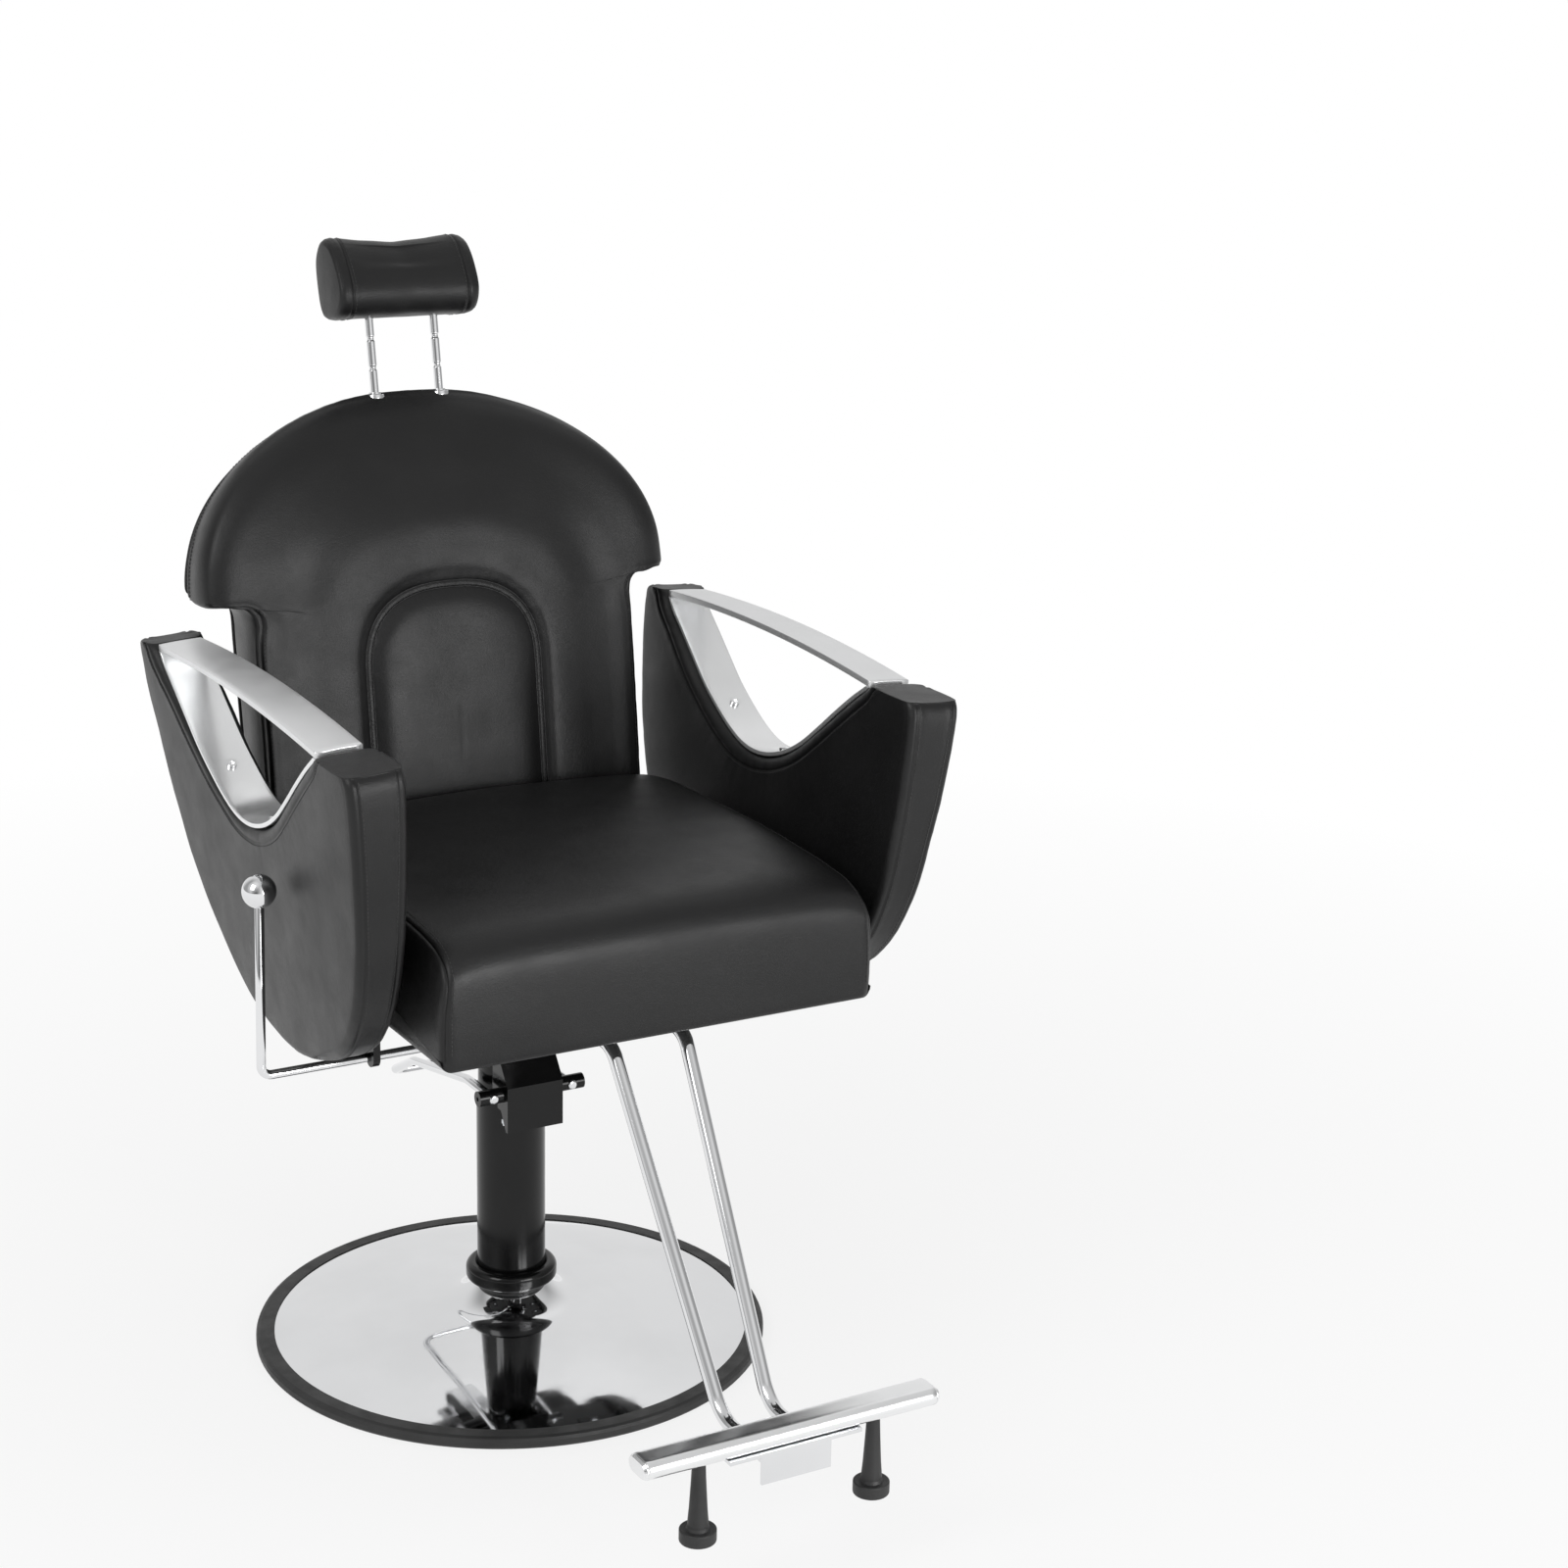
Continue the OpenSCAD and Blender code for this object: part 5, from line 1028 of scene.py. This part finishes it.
def arm_metal(side, word):
    ys = np.linspace(BAR_BACK, BAR_FRONT, 90)
    tops = bar_top(ys)
    up = unit(np.stack([-np.gradient(tops, ys), np.ones(len(ys))], 1))
    line = np.stack([ys, tops], 1) - up * BAR_T
    obj = strip(f"arm_rail_{word}", line, up, TRIM_W / 2, BAR_T,
                lambda p: arm_world(p, side), MAT["arm_bar"], bevel=1.2, crown=0.6)
    put(obj, "seat", [f"arm_bar_{word}"])
    inner = spline(np.array(ARM_INNER[1:-1], float) + [0, 0.7], 10)
    normal = across_line(inner)
    if normal[len(normal) // 2, 1] < 0:
        normal = -normal

    def place(p):
        p = p.copy()
        p[..., 2] = np.minimum(p[..., 2], bar_top(p[..., 1]) - BAR_T - 0.4)
        return arm_world(p, side)

    obj = strip(f"arm_scoop_{word}", inner, normal, TRIM_W / 2, STRAP_T, place, MAT["arm_strap"])
    put(obj, "seat", [f"arm_strap_{word}"])


def back_strap():
    tail, t = BACK_REAR - COVER_T + 3.6, 7.0
    runs = [back_world([0, tail, s])[1:] for s in (335, 190)]
    runs += [(PIVOT_Y + y, PIVOT_Z + z) for y, z in ((186.5, 81), (153.5, -7), (14, 0))]
    line = rounded(runs, [25, 75, 65], 24)
    normal = across_line(line)
    obj = strip("back_spring_strap", line - normal * t / 2, normal, 25.0, t,
                lambda p: p, MAT["arm_strap"], bevel=1.2)
    put(obj, "back", ["back_strap"])


# ---- build all

seat_cushion()
arm_pad("arm_cover_left", 1, "arm_pad_left")
arm_pad("arm_cover_right", -1, "arm_pad_right")
back_cushion()
back_cover()
headrest_cushion()
foot_pedal()
footrest_frame()
base()
lever()
posts()
foot_bar()
arm_metal(1, "left")
arm_metal(-1, "right")
back_strap()

# ---- studio


def studio():
    scene = bpy.context.scene
    scene.view_settings.view_transform = "Standard"
    world = bpy.data.worlds.new("studio")
    scene.world = world
    world.use_nodes = True
    tree = world.node_tree
    tree.nodes.clear()
    path = add_node(tree, "ShaderNodeLightPath").outputs
    # what metal and gloss see: a grey room with pale panels and one dark panel
    # (direction, angles where a panel's edge starts and ends, strength)
    panels = [((0.15, -0.98, 0.12), 14, 50, 0.5), ((-0.75, -0.30, 0.60), 12, 48, 0.4),
              ((0.20, -0.10, 0.97), 10, 55, 0.3), ((0.30, 0.92, 0.28), 26, 62, 0.46),
              ((-0.60, -0.78, 0.15), 10, 40, -0.35)]
    room = 0.38
    where = add_node(tree, "ShaderNodeTexCoord").outputs["Generated"]
    for toward, inner, outer, strength in panels:
        dot = tree.nodes.new("ShaderNodeVectorMath")
        dot.operation = "DOT_PRODUCT"
        wired(tree, dot, {0: where, 1: Vector(toward).normalized()})
        lo, hi = (math.cos(math.radians(angle)) for angle in (outer, inner))
        panel = remap(tree, dot.outputs["Value"], lo, hi, 0.0, strength, "SMOOTHSTEP")
        room = maths(tree, "ADD", panel, room)
    soft_light, backdrop = 0.30, 1.0
    lit, white, mirror = (
        add_node(tree, "ShaderNodeBackground", {"Color": WHITE, "Strength": strength}).outputs[0]
        for strength in (soft_light, backdrop, room))
    seen = maths(tree, "MAXIMUM", path["Is Camera Ray"], path["Is Transmission Ray"])
    glossy = path["Is Glossy Ray"]
    others = add_node(tree, "ShaderNodeMixShader", {"Fac": glossy, 1: lit, 2: mirror})
    final = add_node(tree, "ShaderNodeMixShader", {"Fac": seen, 1: others.outputs[0], 2: white})
    add_node(tree, "ShaderNodeOutputWorld", {"Surface": final.outputs[0]})

    def lamp(name, place, aim, size, power, mirrored=False):
        data = bpy.data.lights.new(name, "AREA")
        data.shape = "RECTANGLE"
        data.size, data.size_y = size
        data.energy = power
        obj = bpy.data.objects.new(name, data)
        obj.visible_glossy = mirrored
        obj.location = place
        obj.rotation_euler = (Vector(aim) - Vector(place)).to_track_quat("-Z", "Y").to_euler()
        scene.collection.objects.link(obj)

    lamp("front", (0.7, -3.2, 1.0), (0, 0, 0.85), (1.6, 1.3), 50, mirrored=True)
    lamp("left", (-2.5, -0.9, 2.4), (0, 0, 0.8), (1.3, 1.6), 28, mirrored=True)
    lamp("key", (-2.1, -2.9, 1.7), (0, 0, 0.7), (2.2, 2.2), 30)
    lamp("top", (0.4, -0.2, 3.6), (0, 0, 0.6), (2.6, 2.6), 12)
    lamp("rear", (-0.6, 3.0, 2.2), (0, 0, 0.8), (2.4, 1.6), 20)


def floor():
    """Pale floor that takes shadows near the chair and fades into the white backdrop."""
    bpy.ops.mesh.primitive_grid_add(
        x_subdivisions=2, y_subdivisions=2, size=60, location=(0, 0, 0))
    obj = bpy.context.object
    obj.name = "floor"
    material = bpy.data.materials.new("floor")
    material.use_nodes = True
    tree = material.node_tree
    tree.nodes.clear()
    path = add_node(tree, "ShaderNodeLightPath").outputs
    seen = maths(tree, "MAXIMUM", path["Is Camera Ray"], path["Is Glossy Ray"])
    reach = tree.nodes.new("ShaderNodeVectorMath")
    reach.operation = "LENGTH"
    wired(tree, reach, {0: add_node(tree, "ShaderNodeTexCoord").outputs["Object"]})
    share = remap(tree, reach.outputs["Value"], 0.4, 2.6, 0.8, 1.0)
    both = maths(tree, "MULTIPLY", seen, share)
    lit = add_node(tree, "ShaderNodeBsdfDiffuse", {"Color": (0.82, 0.82, 0.82, 1)}).outputs[0]
    glow = add_node(tree, "ShaderNodeEmission", {"Color": WHITE, "Strength": 1.0}).outputs[0]
    mix = add_node(tree, "ShaderNodeMixShader", {"Fac": both, 1: lit, 2: glow}).outputs[0]
    add_node(tree, "ShaderNodeOutputMaterial", {"Surface": mix})
    obj.data.materials.append(material)


def camera():
    eye, lens = Vector((-1.3816, -2.9420, 1.6100)), 68.40
    azimuth, elevation, roll = (math.radians(a) for a in (-30.63, 16.02, 1.31))
    back = Vector((math.sin(azimuth) * math.cos(elevation),
                   -math.cos(azimuth) * math.cos(elevation), math.sin(elevation)))
    right = Vector((math.cos(azimuth), math.sin(azimuth), 0))
    up = back.cross(right)
    right, up = (math.cos(roll) * right + math.sin(roll) * up,
                 -math.sin(roll) * right + math.cos(roll) * up)
    data = bpy.data.cameras.new("camera")
    data.sensor_width = 36
    data.lens = lens
    data.clip_end = 100
    obj = bpy.data.objects.new("camera", data)
    turn = Matrix((right, up, back)).transposed().to_4x4()
    obj.matrix_world = Matrix.Translation(eye) @ turn
    bpy.context.scene.collection.objects.link(obj)
    bpy.context.scene.camera = obj


studio()
floor()
camera()
